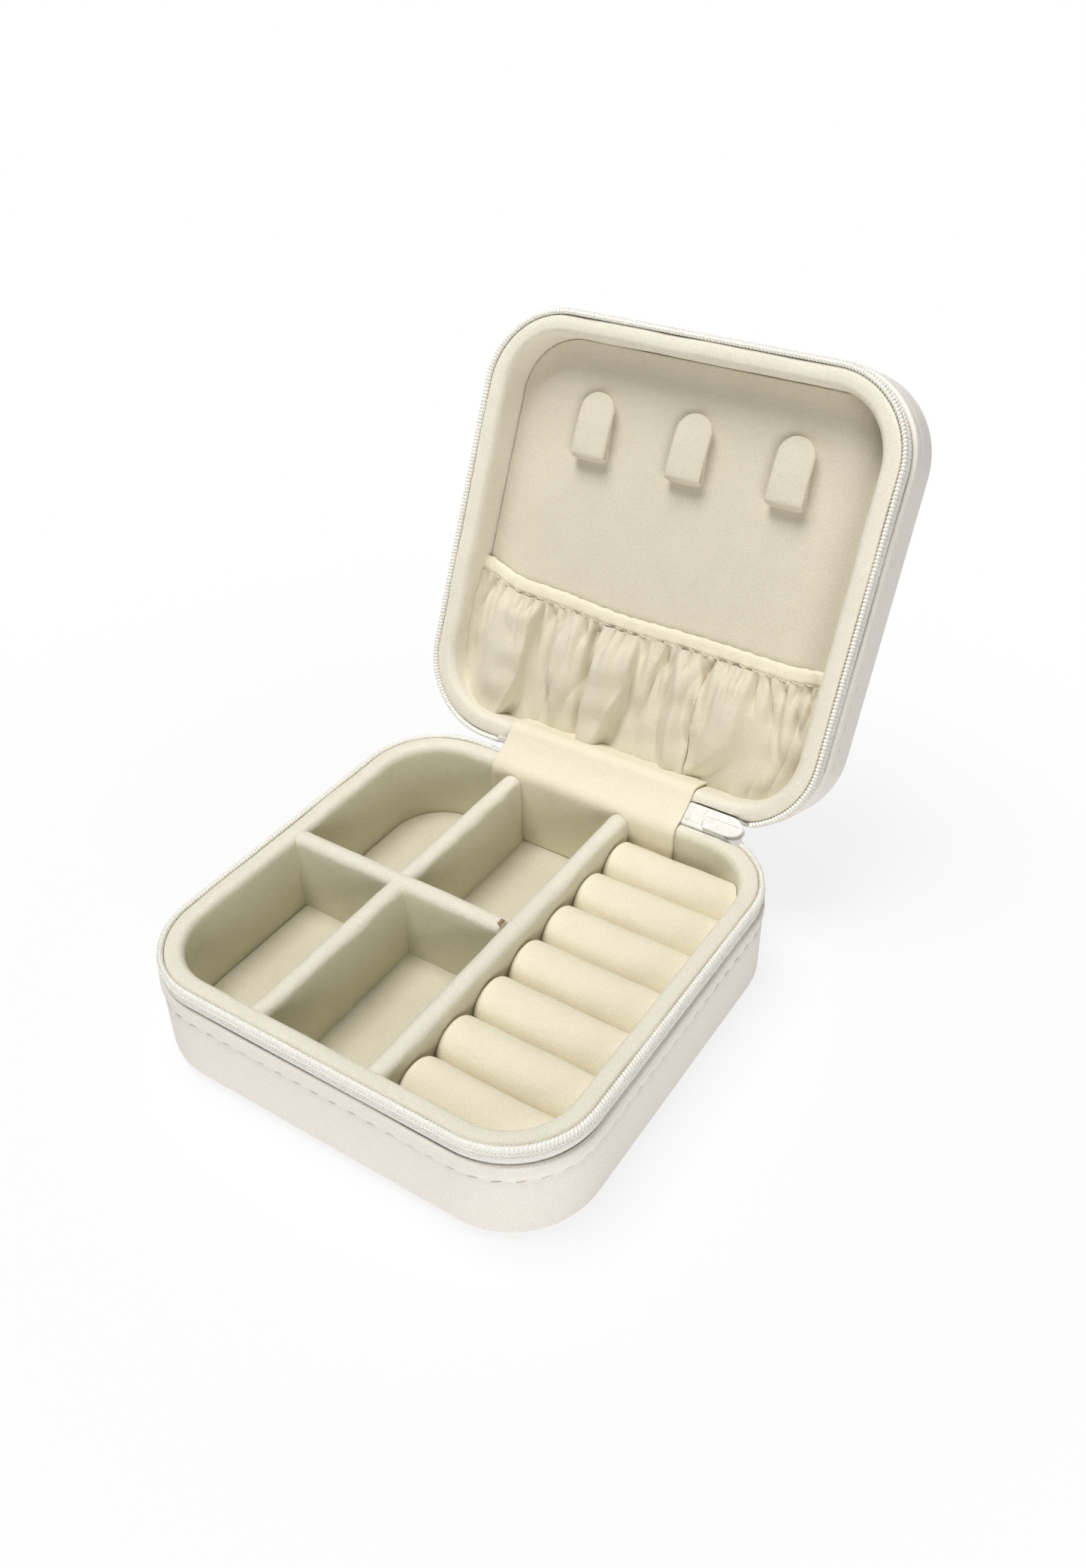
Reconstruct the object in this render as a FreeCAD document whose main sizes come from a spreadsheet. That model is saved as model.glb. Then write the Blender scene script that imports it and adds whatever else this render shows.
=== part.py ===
"""Small square jewelry box with a zip, open as it stands on a table.

Millimetres. The origin is the middle of the base's underside, +X to the right along the front,
+Y to the back, where the lid hinges, and +Z up. The lid stands open at lid_open_angle.
Pieces of the lid and of the zip slider are drawn as they lie when the box is shut, about an origin
on the hinge line, and their Placement swings them open.
"""
import FreeCAD, Part
import Sketcher
import math
import os
import re

Vector = FreeCAD.Vector

# Driving dimensions, each with what it measures

SIZES = {
    "box_width": (100.0, "outside, left to right"),
    "box_depth": (99.0, "outside, front to back"),
    "corner_radius": (19.0, "outside corners, seen from above"),
    "edge_round": (3.0, "rounding round the underside and round the lid's top"),
    "base_height": (25.0, "underside to the parting plane, where the two zip coils meet"),
    "lid_height": (20.0, "parting plane to the lid's top"),
    "lid_open_angle": (114.0, "how far the lid stands open"),
    "parting_gap": (0.4, "between the two coils when shut"),
    "glue_gap": (0.05, "between glued layers"),
    "leather_thickness": (1.0, "cover"),
    "board_thickness": (1.7, "greyboard trays"),
    "lining_thickness": (2.8, "velvet-covered wall ring"),
    "rim_drop": (0.6, "rim of a lining back from the parting plane"),
    "rim_round": (1.3, "rounding of a lining's rim"),
    "floor_pad_thickness": (2.2, "floor card with its velvet"),
    "pad_round": (0.6, "rounding round the floor and the lid panel"),
    "base_tape_show": (5.0, "base leather's edge down from the parting plane"),
    "lid_tape_show": (6.0, "lid leather's edge up from the parting plane"),
    "tape_tuck": (4.0, "zip tape sewn in behind the leather"),
    "tape_thickness": (0.5, "zip tape"),
    "coil_thickness": (1.4, "coil, across the tape"),
    "coil_height": (2.2, "coil, along the tape"),
    "coil_round": (0.55, "rounding of the coil's rail"),
    "stop_length": (2.6, "metal stop at an end of a coil"),
    "divider_thickness": (4.4, "card divider with its velvet"),
    "divider_drop": (0.7, "top of a divider below the parting plane"),
    "divider_round": (1.8, "rounding of a divider's top edges"),
    "divider_gap": (0.15, "divider to the walls it stands between"),
    "lap_gap": (0.1, "play in the half-lap of two dividers"),
    "main_divider_x": (11.0, "middle of the divider beside the rings"),
    "column_divider_x": (-17.3, "middle of the front-to-back divider"),
    "cross_divider_y": (0.0, "middle of the left-to-right divider"),
    "roll_diameter": (12.0, "ring roll"),
    "roll_gap": (0.2, "between neighbouring rolls"),
    "roll_side_gap": (0.4, "roll's end to divider or wall"),
    "roll_drop": (4.0, "crest of a roll below the parting plane"),
    "roll_end_round": (2.2, "rounding of a roll's ends"),
    "hinge_width": (48.0, "leather spine and velvet strap"),
    "hinge_gap": (0.3, "zip parts to the sides of the hinge"),
    "strap_thickness": (0.8, "velvet strap"),
    "strap_gap": (0.2, "strap off the rims"),
    "strap_base_drop": (14.0, "strap's lower end below the parting plane"),
    "strap_lid_drop": (8.5, "strap's upper end in from the lid's parting plane"),
    "strap_valley": (1.75, "strap's fold from the hinge line"),
    "panel_depth": (9.5, "parting plane to the lid's back panel"),
    "panel_thickness": (2.4, "back panel"),
    "hook_width": (8.5, "necklace hook"),
    "hook_length": (15.5, "necklace hook, tip to fold"),
    "hook_strip": (1.4, "thickness of a hook's strip"),
    "hook_standoff": (4.0, "fold of a hook off the panel"),
    "hook_tip_gap": (0.6, "tip of a hook off the panel"),
    "hook_back_leg": (5.0, "glued leg of a hook"),
    "hook_pitch": (24.0, "hook to hook"),
    "hook_count": (3.0, "necklace hooks"),
    "hook_row_offset": (0.9, "middle of the row of hooks, to the right"),
    "hook_setback": (10.4, "hooks' tips from the front wall of the lid"),
    "pocket_height": (31.0, "hinge-side wall of the lid to the top of the hem"),
    "pocket_side_gap": (0.3, "pocket to the walls"),
    "pocket_bulge": (3.4, "cloth off the panel at its fullest"),
    "pocket_seat": (0.35, "cloth off the panel at its sewn edges"),
    "cloth_thickness": (0.6, "pocket cloth"),
    "fold_width": (7.9, "gathered fold of the pocket"),
    "fold_depth": (0.9, "crest of a fold above its valleys"),
    "hem_height": (3.8, "hem of the pocket"),
    "hem_thickness": (2.0, "hem, off the panel"),
    "hem_wall": (0.5, "cloth round the elastic"),
    "elastic_gap": (0.1, "elastic to its tunnel"),
    "slider_stand": (4.7, "closed end of the zip to the slider"),
    "slider_length": (8.8, "zip slider"),
    "slider_width": (6.0, "zip slider, across the chain"),
    "slider_nose": (3.4, "rounded end of the slider"),
    "slider_plate": (0.55, "each plate of the slider"),
    "slider_play": (0.1, "chain to the slider's plates"),
    "slider_travel": (4.0, "way of the slider to the closed end of the chain"),
    "neck_length": (2.4, "post between the slider's plates"),
    "neck_width": (2.0, "post, across the chain"),
    "neck_setback": (0.8, "post from the nose of the slider"),
    "coil_lead": (1.7, "slider's nose to where the two coils part"),
    "chain_width": (3.8, "two coils meshed"),
    "chain_thickness": (1.3, "two coils meshed, through the tape"),
    "chain_entry": (1.2, "closed chain inside the slider"),
    "bridge_span": (6.0, "bridge that holds the pull, along the slider"),
    "bridge_clear": (1.1, "under the bridge"),
    "bridge_bar": (0.7, "thickness of the bridge"),
    "bridge_width": (1.4, "bridge, across the slider"),
    "pull_length": (19.0, "pull tab"),
    "pull_width": (4.6, "pull tab"),
    "pull_thickness": (0.9, "pull tab"),
    "pull_neck_width": (3.4, "pull tab at its eye"),
    "pull_eye_width": (1.9, "eye of the pull"),
    "pull_eye_length": (3.6, "eye of the pull"),
    "pull_pin_diameter": (0.8, "round bar of the eye, under the bridge"),
}

document = FreeCAD.newDocument("JewelryBox")
sheet = document.addObject("Spreadsheet::Sheet", "Sizes")
for row, (name, (size, meaning)) in enumerate(SIZES.items(), start=1):
    sheet.set(f"A{row}", name)
    sheet.set(f"B{row}", str(size))
    sheet.set(f"C{row}", meaning)
    sheet.setAlias(f"B{row}", name)
document.recompute()

# Derived lengths, written as expressions on the sheet

HINGE_Y = "(box_depth / 2)"
LID_CENTRE_Y = "(-box_depth / 2)"
BOARD_INSET = "(leather_thickness + glue_gap)"
LINING_INSET = "(leather_thickness + board_thickness + 2 * glue_gap)"
CAVITY_INSET = f"({LINING_INSET} + lining_thickness)"
CAVITY_X = f"(box_width / 2 - {CAVITY_INSET})"
CAVITY_Y = f"(box_depth / 2 - {CAVITY_INSET})"
CAVITY_RADIUS = f"(corner_radius - {CAVITY_INSET})"
STRAP_STACK = "(strap_gap + strap_thickness)"
FLOOR_Z = f"({LINING_INSET} + floor_pad_thickness)"
DIVIDER_TOP = "(base_height - divider_drop)"
MAIN_LEFT = "(main_divider_x - divider_thickness / 2)"
MAIN_RIGHT = "(main_divider_x + divider_thickness / 2)"
TAPE_INSET = BOARD_INSET
COIL_MIDDLE = f"({TAPE_INSET} + tape_thickness / 2)"
COIL_FAR = "(parting_gap / 2 + coil_height)"
TAPE_END_X = "(hinge_width / 2 + hinge_gap)"
STOP_END_X = f"({TAPE_END_X} + stop_length)"
SLIDER_LEFT = f"({TAPE_END_X} + slider_stand)"
SLIDER_X = f"({SLIDER_LEFT} + slider_length / 2)"
SLIDER_RIGHT = f"({SLIDER_LEFT} + slider_length)"
COIL_START_X = f"({SLIDER_RIGHT} + coil_lead)"
CHAIN_Y = f"(-{COIL_MIDDLE})"
CHANNEL = "(chain_thickness / 2 + slider_play)"
OUTER_FACE = f"({CHAIN_Y} + {CHANNEL} + slider_plate)"
SLIDER_SWEEP = f"(sqrt((slider_width / 2) ^ 2 + ({COIL_MIDDLE} + {CHANNEL} + slider_plate) ^ 2))"
SLIDER_SIDE = "(slider_width / 2 + hinge_gap)"


def amount(text):
    """Value of an expression in sizes."""
    return float(sheet.evalExpression(text))


def bind(item, name, text):
    """Tie one property of an object to an expression in sizes."""
    linked = re.sub(r"[a-z_]+", lambda word: f"Sizes.{word[0]}" if word[0] in SIZES else word[0], text)
    item.setExpression(name, linked)


# Frames: where a piece's drawing lies in the open box

SWING = {"base": None, "lid": "lid_open_angle", "slider": "lid_open_angle / 2"}


def place(piece, frame):
    """Put a piece of the lid or the slider on the hinge line and swing it open."""
    if SWING[frame] is None:
        return
    turn = FreeCAD.Rotation(Vector(-1, 0, 0), amount(SWING[frame]))
    piece.Placement = FreeCAD.Placement(Vector(0, amount(HINGE_Y), amount("base_height")), turn)
    bind(piece, "Placement.Base.y", HINGE_Y)
    bind(piece, "Placement.Base.z", "base_height")
    bind(piece, "Placement.Rotation.Angle", SWING[frame])


def swung(y, z):
    """Point given from the hinge line in the shut lid, in the base's frame with the lid open."""
    return (f"{HINGE_Y} + ({y}) * cos(lid_open_angle) + ({z}) * sin(lid_open_angle)",
            f"base_height - ({y}) * sin(lid_open_angle) + ({z}) * cos(lid_open_angle)")


def from_hinge(y, z):
    """Point given from the hinge line, in the base's frame."""
    return f"{HINGE_Y} + ({y})", f"base_height + ({z})"


# Drawing and feature helpers

pieces = []


def new_body(label, frame):
    body = document.addObject("PartDesign::Body", label)
    body.Label = label
    place(body, frame)
    pieces.append(body)
    return body


def new_sketch(body, role, right="0", up="0", out="0"):
    """Sketch on an origin plane, shifted in the plane and along its normal."""
    sketch = body.newObject("Sketcher::SketchObject", f"{body.Name}_sketch")
    plane = next(item for item in body.Origin.OriginFeatures if item.Role == role)
    sketch.AttachmentSupport = [(plane, "")]
    sketch.MapMode = "FlatFace"
    for axis, text in zip("xyz", (right, up, out)):
        if text != "0":
            bind(sketch, f"AttachmentOffset.Base.{axis}", text)
    return sketch


def fix_point(sketch, geometry, vertex, right, up):
    """Hold a point at expressions of the sizes, from the sketch's origin."""
    for kind, text in (("DistanceX", right), ("DistanceY", up)):
        index = sketch.addConstraint(Sketcher.Constraint(kind, -1, 1, geometry, vertex, amount(text)))
        bind(sketch, f"Constraints[{index}]", text)


def fix_radius(sketch, geometry, radius):
    index = sketch.addConstraint(Sketcher.Constraint("Radius", geometry, amount(radius)))
    bind(sketch, f"Constraints[{index}]", radius)


def outline(sketch, corners):
    """Closed outline. A corner is (right, up), or (right, up, radius, turn) where an arc of that radius
    leads on to the next corner, anticlockwise with turn 1 and clockwise with turn -1."""
    first = sketch.GeometryCount
    points = [Vector(amount(corner[0]), amount(corner[1]), 0) for corner in corners]
    start_vertex, end_vertex = [], []
    for index, corner in enumerate(corners):
        start, end = points[index], points[(index + 1) % len(points)]
        if len(corner) == 2:
            sketch.addGeometry(Part.LineSegment(start, end), False)
            start_vertex.append(1)
            end_vertex.append(2)
            continue
        radius, turn = amount(corner[2]), corner[3]
        chord = end - start
        left = Vector(-chord.y, chord.x, 0).normalize()
        rise = math.sqrt(radius ** 2 - chord.Length ** 2 / 4)
        centre = (start + end) * 0.5 + left * (turn * rise)
        tail, head = (start, end) if turn > 0 else (end, start)
        angles = [math.atan2(point.y - centre.y, point.x - centre.x) for point in (tail, head)]
        whole = Part.Circle(centre, Vector(0, 0, 1), radius)
        sketch.addGeometry(Part.ArcOfCircle(whole, angles[0], angles[1]), False)
        start_vertex.append(1 if turn > 0 else 2)
        end_vertex.append(2 if turn > 0 else 1)
    for index, corner in enumerate(corners):
        after = (index + 1) % len(corners)
        sketch.addConstraint(Sketcher.Constraint(
            "Coincident", first + index, end_vertex[index], first + after, start_vertex[after]))
        fix_point(sketch, first + index, start_vertex[index], corner[0], corner[1])
        if len(corner) > 2:
            fix_radius(sketch, first + index, corner[2])


def circle(sketch, radius):
    """Circle about the sketch's origin."""
    sketch.addGeometry(Part.Circle(Vector(), Vector(0, 0, 1), amount(radius)), False)
    sketch.addConstraint(Sketcher.Constraint("Coincident", 0, 3, -1, 1))
    fix_radius(sketch, 0, radius)


def rectangle(sketch, left, right, low, high):
    outline(sketch, [(left, low), (right, low), (right, high), (left, high)])


def plan(sketch, inset):
    """Outline of the box, seen from above, inset from its outer face."""
    half_x = f"(box_width / 2 - ({inset}))"
    half_y = f"(box_depth / 2 - ({inset}))"
    radius = f"(corner_radius - ({inset}))"
    outline(sketch, [
        (f"{half_x} - {radius}", f"-{half_y}", radius, 1), (half_x, f"{radius} - {half_y}"),
        (half_x, f"{half_y} - {radius}", radius, 1), (f"{half_x} - {radius}", half_y),
        (f"{radius} - {half_x}", half_y, radius, 1), (f"-{half_x}", f"{half_y} - {radius}"),
        (f"-{half_x}", f"{radius} - {half_y}", radius, 1), (f"{radius} - {half_x}", f"-{half_y}")])


def pad(body, sketch, length, symmetric=False):
    feature = body.newObject("PartDesign::Pad", f"{body.Name}_pad")
    feature.Profile = sketch
    feature.SideType = "Symmetric" if symmetric else "One side"
    bind(feature, "Length", length)
    document.recompute()
    return feature


def cut(body, sketch, upward=False, both_ways=False, length=None):
    """Cut the sketch out of a body, right through it or to a length. It has to take something off."""
    before = body.Shape.Volume
    feature = body.newObject("PartDesign::Pocket", f"{body.Name}_cut")
    feature.Profile = sketch
    feature.Type = "Length" if length else "ThroughAll"
    feature.SideType = "Symmetric" if both_ways else "One side"
    feature.Reversed = upward
    if length:
        bind(feature, "Length", length)
    document.recompute()
    if not body.Shape.Volume < before:
        raise RuntimeError(f"{feature.Name} cuts nothing")


def soften(body, radius, choose):
    """Round the edges of a body's last feature that the test picks."""
    base = body.Tip
    names = [f"Edge{index}" for index, edge in enumerate(base.Shape.Edges, start=1) if choose(edge)]
    feature = body.newObject("PartDesign::Fillet", f"{body.Name}_round")
    feature.Base = (base, names)
    bind(feature, "Radius", radius)
    document.recompute()


TOUCH = 1e-5


def at_height(*levels):
    """Test for an edge that lies flat at one of the heights."""
    heights = [amount(level) for level in levels]

    def choose(edge):
        box = edge.BoundBox
        return any(abs(box.ZMin - height) < TOUCH and abs(box.ZMax - height) < TOUCH for height in heights)
    return choose


def level_sketch(body, frame, height):
    """Sketch seen from above, centred on the box, at a height."""
    shift = LID_CENTRE_Y if frame == "lid" else "0"
    return new_sketch(body, "XY_Plane", up=shift, out=height)


def slab(label, frame, inset, low, high, hole_inset=None):
    """Piece with the box's outline between two heights, or a ring of it."""
    body = new_body(label, frame)
    sketch = level_sketch(body, frame, low)
    plan(sketch, inset)
    if hole_inset:
        plan(sketch, hole_inset)
    pad(body, sketch, f"({high}) - ({low})")
    return body


def slider_room(body, frame, draw):
    """Cut out the way of the slider, drawn about the hinge line, as far along the box as it runs."""
    start = f"({SLIDER_LEFT} - slider_travel - hinge_gap)"
    across, up = (HINGE_Y, "base_height") if frame == "base" else ("0", "0")
    sketch = new_sketch(body, "YZ_Plane", right=across, up=up, out=start)
    draw(sketch)
    cut(body, sketch, upward=True, length=f"{SLIDER_RIGHT} + hinge_gap - {start}")


# Shells: leather cover, greyboard tray and velvet wall ring of each half

def cover(label, frame, closed, open_edge):
    """Leather shell: one closed face, side band up to the open edge, rounded where they meet."""
    low, high = (closed, open_edge) if frame == "base" else (open_edge, closed)
    body = slab(label, frame, "0", low, high)
    soften(body, "edge_round", at_height(closed))
    inner = f"{closed} {'+' if frame == 'base' else '-'} leather_thickness"
    sketch = level_sketch(body, frame, inner)
    plan(sketch, "leather_thickness")
    cut(body, sketch, upward=frame == "base")
    soften(body, "edge_round - leather_thickness", at_height(inner))


def tray(label, frame, closed, open_edge):
    """Greyboard tray inside the leather."""
    low, high = (closed, open_edge) if frame == "base" else (open_edge, closed)
    body = slab(label, frame, BOARD_INSET, low, high)
    soften(body, "edge_round - leather_thickness", at_height(closed))
    inner = f"{closed} {'+' if frame == 'base' else '-'} board_thickness"
    sketch = level_sketch(body, frame, inner)
    plan(sketch, f"{BOARD_INSET} + board_thickness")
    cut(body, sketch, upward=frame == "base")


def lining(label, frame, seat, rim):
    """Velvet wall ring from its seat on the board to its rounded rim."""
    low, high = (seat, rim) if frame == "base" else (rim, seat)
    body = slab(label, frame, LINING_INSET, low, high, CAVITY_INSET)
    soften(body, "rim_round", at_height(rim))
    slider_room(body, frame, lambda sketch: circle(sketch, f"{SLIDER_SWEEP} + hinge_gap"))


cover("base_cover", "base", "0", "base_height - base_tape_show")
tray("base_board", "base", BOARD_INSET, "base_height - base_tape_show - tape_tuck - hinge_gap")
lining("base_lining", "base", LINING_INSET, "base_height - rim_drop")

FOAM_LOW = "(panel_depth + panel_thickness + board_thickness + 2 * glue_gap)"
cover("lid_cover", "lid", "lid_height", "lid_tape_show")
tray("lid_board", "lid", f"{FOAM_LOW} - glue_gap", "lid_tape_show + tape_tuck + hinge_gap")
lining("lid_lining", "lid", "panel_depth + panel_thickness", "rim_drop")

# Lid's filling: foam under the leather top, velvet panel on the board

foam = slab("lid_foam", "lid", BOARD_INSET, FOAM_LOW, "lid_height - leather_thickness - glue_gap")
soften(foam, "edge_round - leather_thickness", at_height("lid_height - leather_thickness - glue_gap"))

panel = slab("lid_panel", "lid", f"{CAVITY_INSET} + glue_gap",
             "panel_depth", "panel_depth + panel_thickness")
soften(panel, "pad_round", at_height("panel_depth"))

# Base's filling: floor and dividers

floor = slab("floor_pad", "base", f"{CAVITY_INSET} + glue_gap", LINING_INSET, FLOOR_Z)
soften(floor, "pad_round", at_height(FLOOR_Z))


def divider(label, left, right, front, back):
    """Card strip standing on the floor, its two long top edges rounded."""
    body = new_body(label, "base")
    sketch = new_sketch(body, "XY_Plane", out=FLOOR_Z)
    rectangle(sketch, left, right, front, back)
    pad(body, sketch, f"{DIVIDER_TOP} - {FLOOR_Z}")
    on_top = at_height(DIVIDER_TOP)
    thickness = amount("divider_thickness")
    soften(body, "divider_round", lambda edge: on_top(edge) and edge.Length > thickness + TOUCH)
    return body


FRONT_END = f"divider_gap - {CAVITY_Y}"
BACK_END = f"{CAVITY_Y} - {STRAP_STACK} - divider_gap"
divider("main_divider", MAIN_LEFT, MAIN_RIGHT, FRONT_END, BACK_END)

LAP_Z = f"(({FLOOR_Z} + {DIVIDER_TOP}) / 2)"
LAP_HALF = "(divider_thickness / 2 + lap_gap)"
cross = divider("cross_divider", f"divider_gap - {CAVITY_X}", f"{MAIN_LEFT} - divider_gap",
                "cross_divider_y - divider_thickness / 2", "cross_divider_y + divider_thickness / 2")
slot = new_sketch(cross, "XZ_Plane")
rectangle(slot, f"column_divider_x - {LAP_HALF}", f"column_divider_x + {LAP_HALF}",
          "0", f"{LAP_Z} + lap_gap / 2")
cut(cross, slot, both_ways=True)

column = divider("column_divider", "column_divider_x - divider_thickness / 2",
                 "column_divider_x + divider_thickness / 2", FRONT_END, BACK_END)
slot = new_sketch(column, "YZ_Plane")
rectangle(slot, f"cross_divider_y - {LAP_HALF}", f"cross_divider_y + {LAP_HALF}",
          f"{LAP_Z} - lap_gap / 2", "base_height")
cut(column, slot, both_ways=True)

# Ring bed and ring rolls: as many rolls as the compartment's length takes

ROLL_LEFT = f"({MAIN_RIGHT} + roll_side_gap)"
ROLL_RIGHT = f"({CAVITY_X} - roll_side_gap)"
ROLL_AXIS_Z = "(base_height - roll_drop - roll_diameter / 2)"
ROW_LENGTH = f"(2 * {CAVITY_Y} - {STRAP_STACK} - 2 * roll_side_gap)"

bed = new_body("ring_bed", "base")
BED_RADIUS = f"({CAVITY_RADIUS} - divider_gap)"
BED_RIGHT = f"({CAVITY_X} - divider_gap)"
BED_BACK = f"({CAVITY_Y} - divider_gap)"
sketch = new_sketch(bed, "XY_Plane", out=FLOOR_Z)
outline(sketch, [
    (f"{MAIN_RIGHT} + divider_gap", f"-{BED_BACK}"),
    (f"{BED_RIGHT} - {BED_RADIUS}", f"-{BED_BACK}", BED_RADIUS, 1),
    (BED_RIGHT, f"{BED_RADIUS} - {BED_BACK}"), (BED_RIGHT, f"{BED_BACK} - {BED_RADIUS}", BED_RADIUS, 1),
    (f"{BED_RIGHT} - {BED_RADIUS}", BED_BACK), (f"{MAIN_RIGHT} + divider_gap", BED_BACK)])
pad(bed, sketch, f"base_height - roll_drop - roll_diameter - roll_gap / 2 - {FLOOR_Z}")


def crosses_corner(axis_y):
    """Whether the rounded right end of a roll, seen from above, reaches past the round corner."""
    right = amount(f"{ROLL_RIGHT} - roll_end_round - ({CAVITY_X} - {CAVITY_RADIUS})")
    straight = f"({CAVITY_Y} - {CAVITY_RADIUS})"
    reach = abs(amount(axis_y)) + amount(f"roll_diameter / 2 - roll_end_round - {straight}")
    room = amount(f"{CAVITY_RADIUS} - roll_side_gap - roll_end_round")
    return math.hypot(max(right, 0.0), max(reach, 0.0)) > room


roll_count = math.floor(amount(f"({ROW_LENGTH} + roll_gap) / (roll_diameter + roll_gap)"))
for number in range(roll_count):
    step = (roll_count - 1) / 2 - number
    axis_y = f"({step} * (roll_diameter + roll_gap) - {STRAP_STACK} / 2)"
    roll = new_body(f"ring_roll_{number + 1}", "base")
    sketch = new_sketch(roll, "YZ_Plane", right=axis_y, up=ROLL_AXIS_Z, out=ROLL_LEFT)
    circle(sketch, "roll_diameter / 2")
    pad(roll, sketch, f"{ROLL_RIGHT} - {ROLL_LEFT}")
    ends = [amount(ROLL_LEFT), amount(ROLL_RIGHT)]
    soften(roll, "roll_end_round", lambda edge: edge.BoundBox.XLength < TOUCH and any(
        abs(edge.BoundBox.XMin - end) < TOUCH for end in ends))
    if crosses_corner(axis_y):
        corner = new_sketch(roll, "XY_Plane")
        plan(corner, f"{CAVITY_INSET} + roll_side_gap")
        rectangle(corner, "-box_width", "box_width", "-box_depth", "box_depth")
        cut(roll, corner, both_ways=True)

# Zip tape, coil and top stop of each half: rings cut open at the hinge

def open_at_back(body, frame, left, right):
    """Cut a ring open at the back between two places."""
    sketch = level_sketch(body, frame, "0")
    rectangle(sketch, left, right, "0", "box_depth")
    cut(body, sketch, both_ways=True)


def zip_half(frame, leather_edge, sign):
    """Woven tape sewn in behind the leather, coil on its edge, metal stop at the coil's left end."""
    parting = "base_height" if frame == "base" else "0"
    tuck_end = f"{leather_edge} {sign} tape_tuck"
    coil_far = f"{parting} {sign} {COIL_FAR}"
    coil_near = f"{parting} {sign} parting_gap / 2"
    low, high = (tuck_end, coil_far) if frame == "base" else (coil_far, tuck_end)
    tape = slab(f"{frame}_zip_tape", frame, TAPE_INSET, low, high, f"{TAPE_INSET} + tape_thickness")
    open_at_back(tape, frame, f"-{TAPE_END_X}", TAPE_END_X)
    slider_room(tape, frame, lambda sketch: rectangle(
        sketch, f"-{CAVITY_INSET}", "0", f"-{SLIDER_SIDE}", SLIDER_SIDE))
    low, high = (coil_far, coil_near) if frame == "base" else (coil_near, coil_far)
    coil = slab(f"{frame}_zip_coil", frame, f"{COIL_MIDDLE} - coil_thickness / 2", low, high,
                f"{COIL_MIDDLE} + coil_thickness / 2")
    soften(coil, "coil_round", at_height(coil_near, coil_far))
    open_at_back(coil, frame, f"-{STOP_END_X}", COIL_START_X)
    stop = new_body(f"{frame}_top_stop", frame)
    back = "box_depth / 2" if frame == "base" else "0"
    sketch = new_sketch(stop, "XY_Plane", out=low)
    rectangle(sketch, f"glue_gap - {STOP_END_X}", f"-{TAPE_END_X}",
              f"{back} - {COIL_MIDDLE} - coil_thickness / 2",
              f"{back} - {COIL_MIDDLE} + coil_thickness / 2")
    pad(stop, sketch, f"({high}) - ({low})")
    soften(stop, "coil_round / 2", lambda edge: edge.BoundBox.XLength > amount("stop_length") / 2)


zip_half("base", "base_height - base_tape_show", "-")
zip_half("lid", "lid_tape_show", "+")

# Hinge: leather spine outside, velvet strap over the two rims inside

spine = new_body("hinge_spine", "base")
sketch = new_sketch(spine, "YZ_Plane")
outline(sketch, [
    from_hinge("0", "glue_gap - base_tape_show"), from_hinge("0", "0"),
    swung("0", "lid_tape_show - glue_gap"),
    swung("-leather_thickness", "lid_tape_show - glue_gap"),
    swung("-leather_thickness", "0") + ("leather_thickness", 1),
    from_hinge("-leather_thickness", "0"), from_hinge("-leather_thickness", "glue_gap - base_tape_show")])
pad(spine, sketch, "hinge_width", symmetric=True)

strap = new_body("hinge_strap", "base")
sketch = new_sketch(strap, "YZ_Plane")
WALL_SIDE = f"-{CAVITY_INSET} - strap_gap"
ROOM_SIDE = f"-{CAVITY_INSET} - {STRAP_STACK}"
ROUND_Y = f"rim_round - {CAVITY_INSET}"
ROUND_Z = "rim_drop + rim_round"
NEAR_RADIUS = "rim_round + strap_gap"
FAR_RADIUS = f"rim_round + {STRAP_STACK}"


def valley(reach):
    """Point on the middle plane between base and lid, from the hinge line."""
    return from_hinge(f"-({reach}) * cos(lid_open_angle / 2)", f"({reach}) * sin(lid_open_angle / 2)")


outline(sketch, [
    from_hinge(WALL_SIDE, "-strap_base_drop"), from_hinge(WALL_SIDE, f"-({ROUND_Z})") + (NEAR_RADIUS, -1),
    from_hinge(ROUND_Y, f"{NEAR_RADIUS} - ({ROUND_Z})"), valley("strap_valley"),
    swung(ROUND_Y, f"{ROUND_Z} - ({NEAR_RADIUS})") + (NEAR_RADIUS, -1), swung(WALL_SIDE, ROUND_Z),
    swung(WALL_SIDE, "strap_lid_drop"), swung(ROOM_SIDE, "strap_lid_drop"),
    swung(ROOM_SIDE, ROUND_Z) + (FAR_RADIUS, 1), swung(ROUND_Y, f"{ROUND_Z} - ({FAR_RADIUS})"),
    valley("strap_valley + strap_thickness"),
    from_hinge(ROUND_Y, f"{FAR_RADIUS} - ({ROUND_Z})") + (FAR_RADIUS, 1),
    from_hinge(ROOM_SIDE, f"-({ROUND_Z})"), from_hinge(ROOM_SIDE, "-strap_base_drop")])
pad(strap, sketch, "hinge_width", symmetric=True)

# Necklace hooks: a strip folded back on itself, glued to the panel by its short leg

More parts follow.
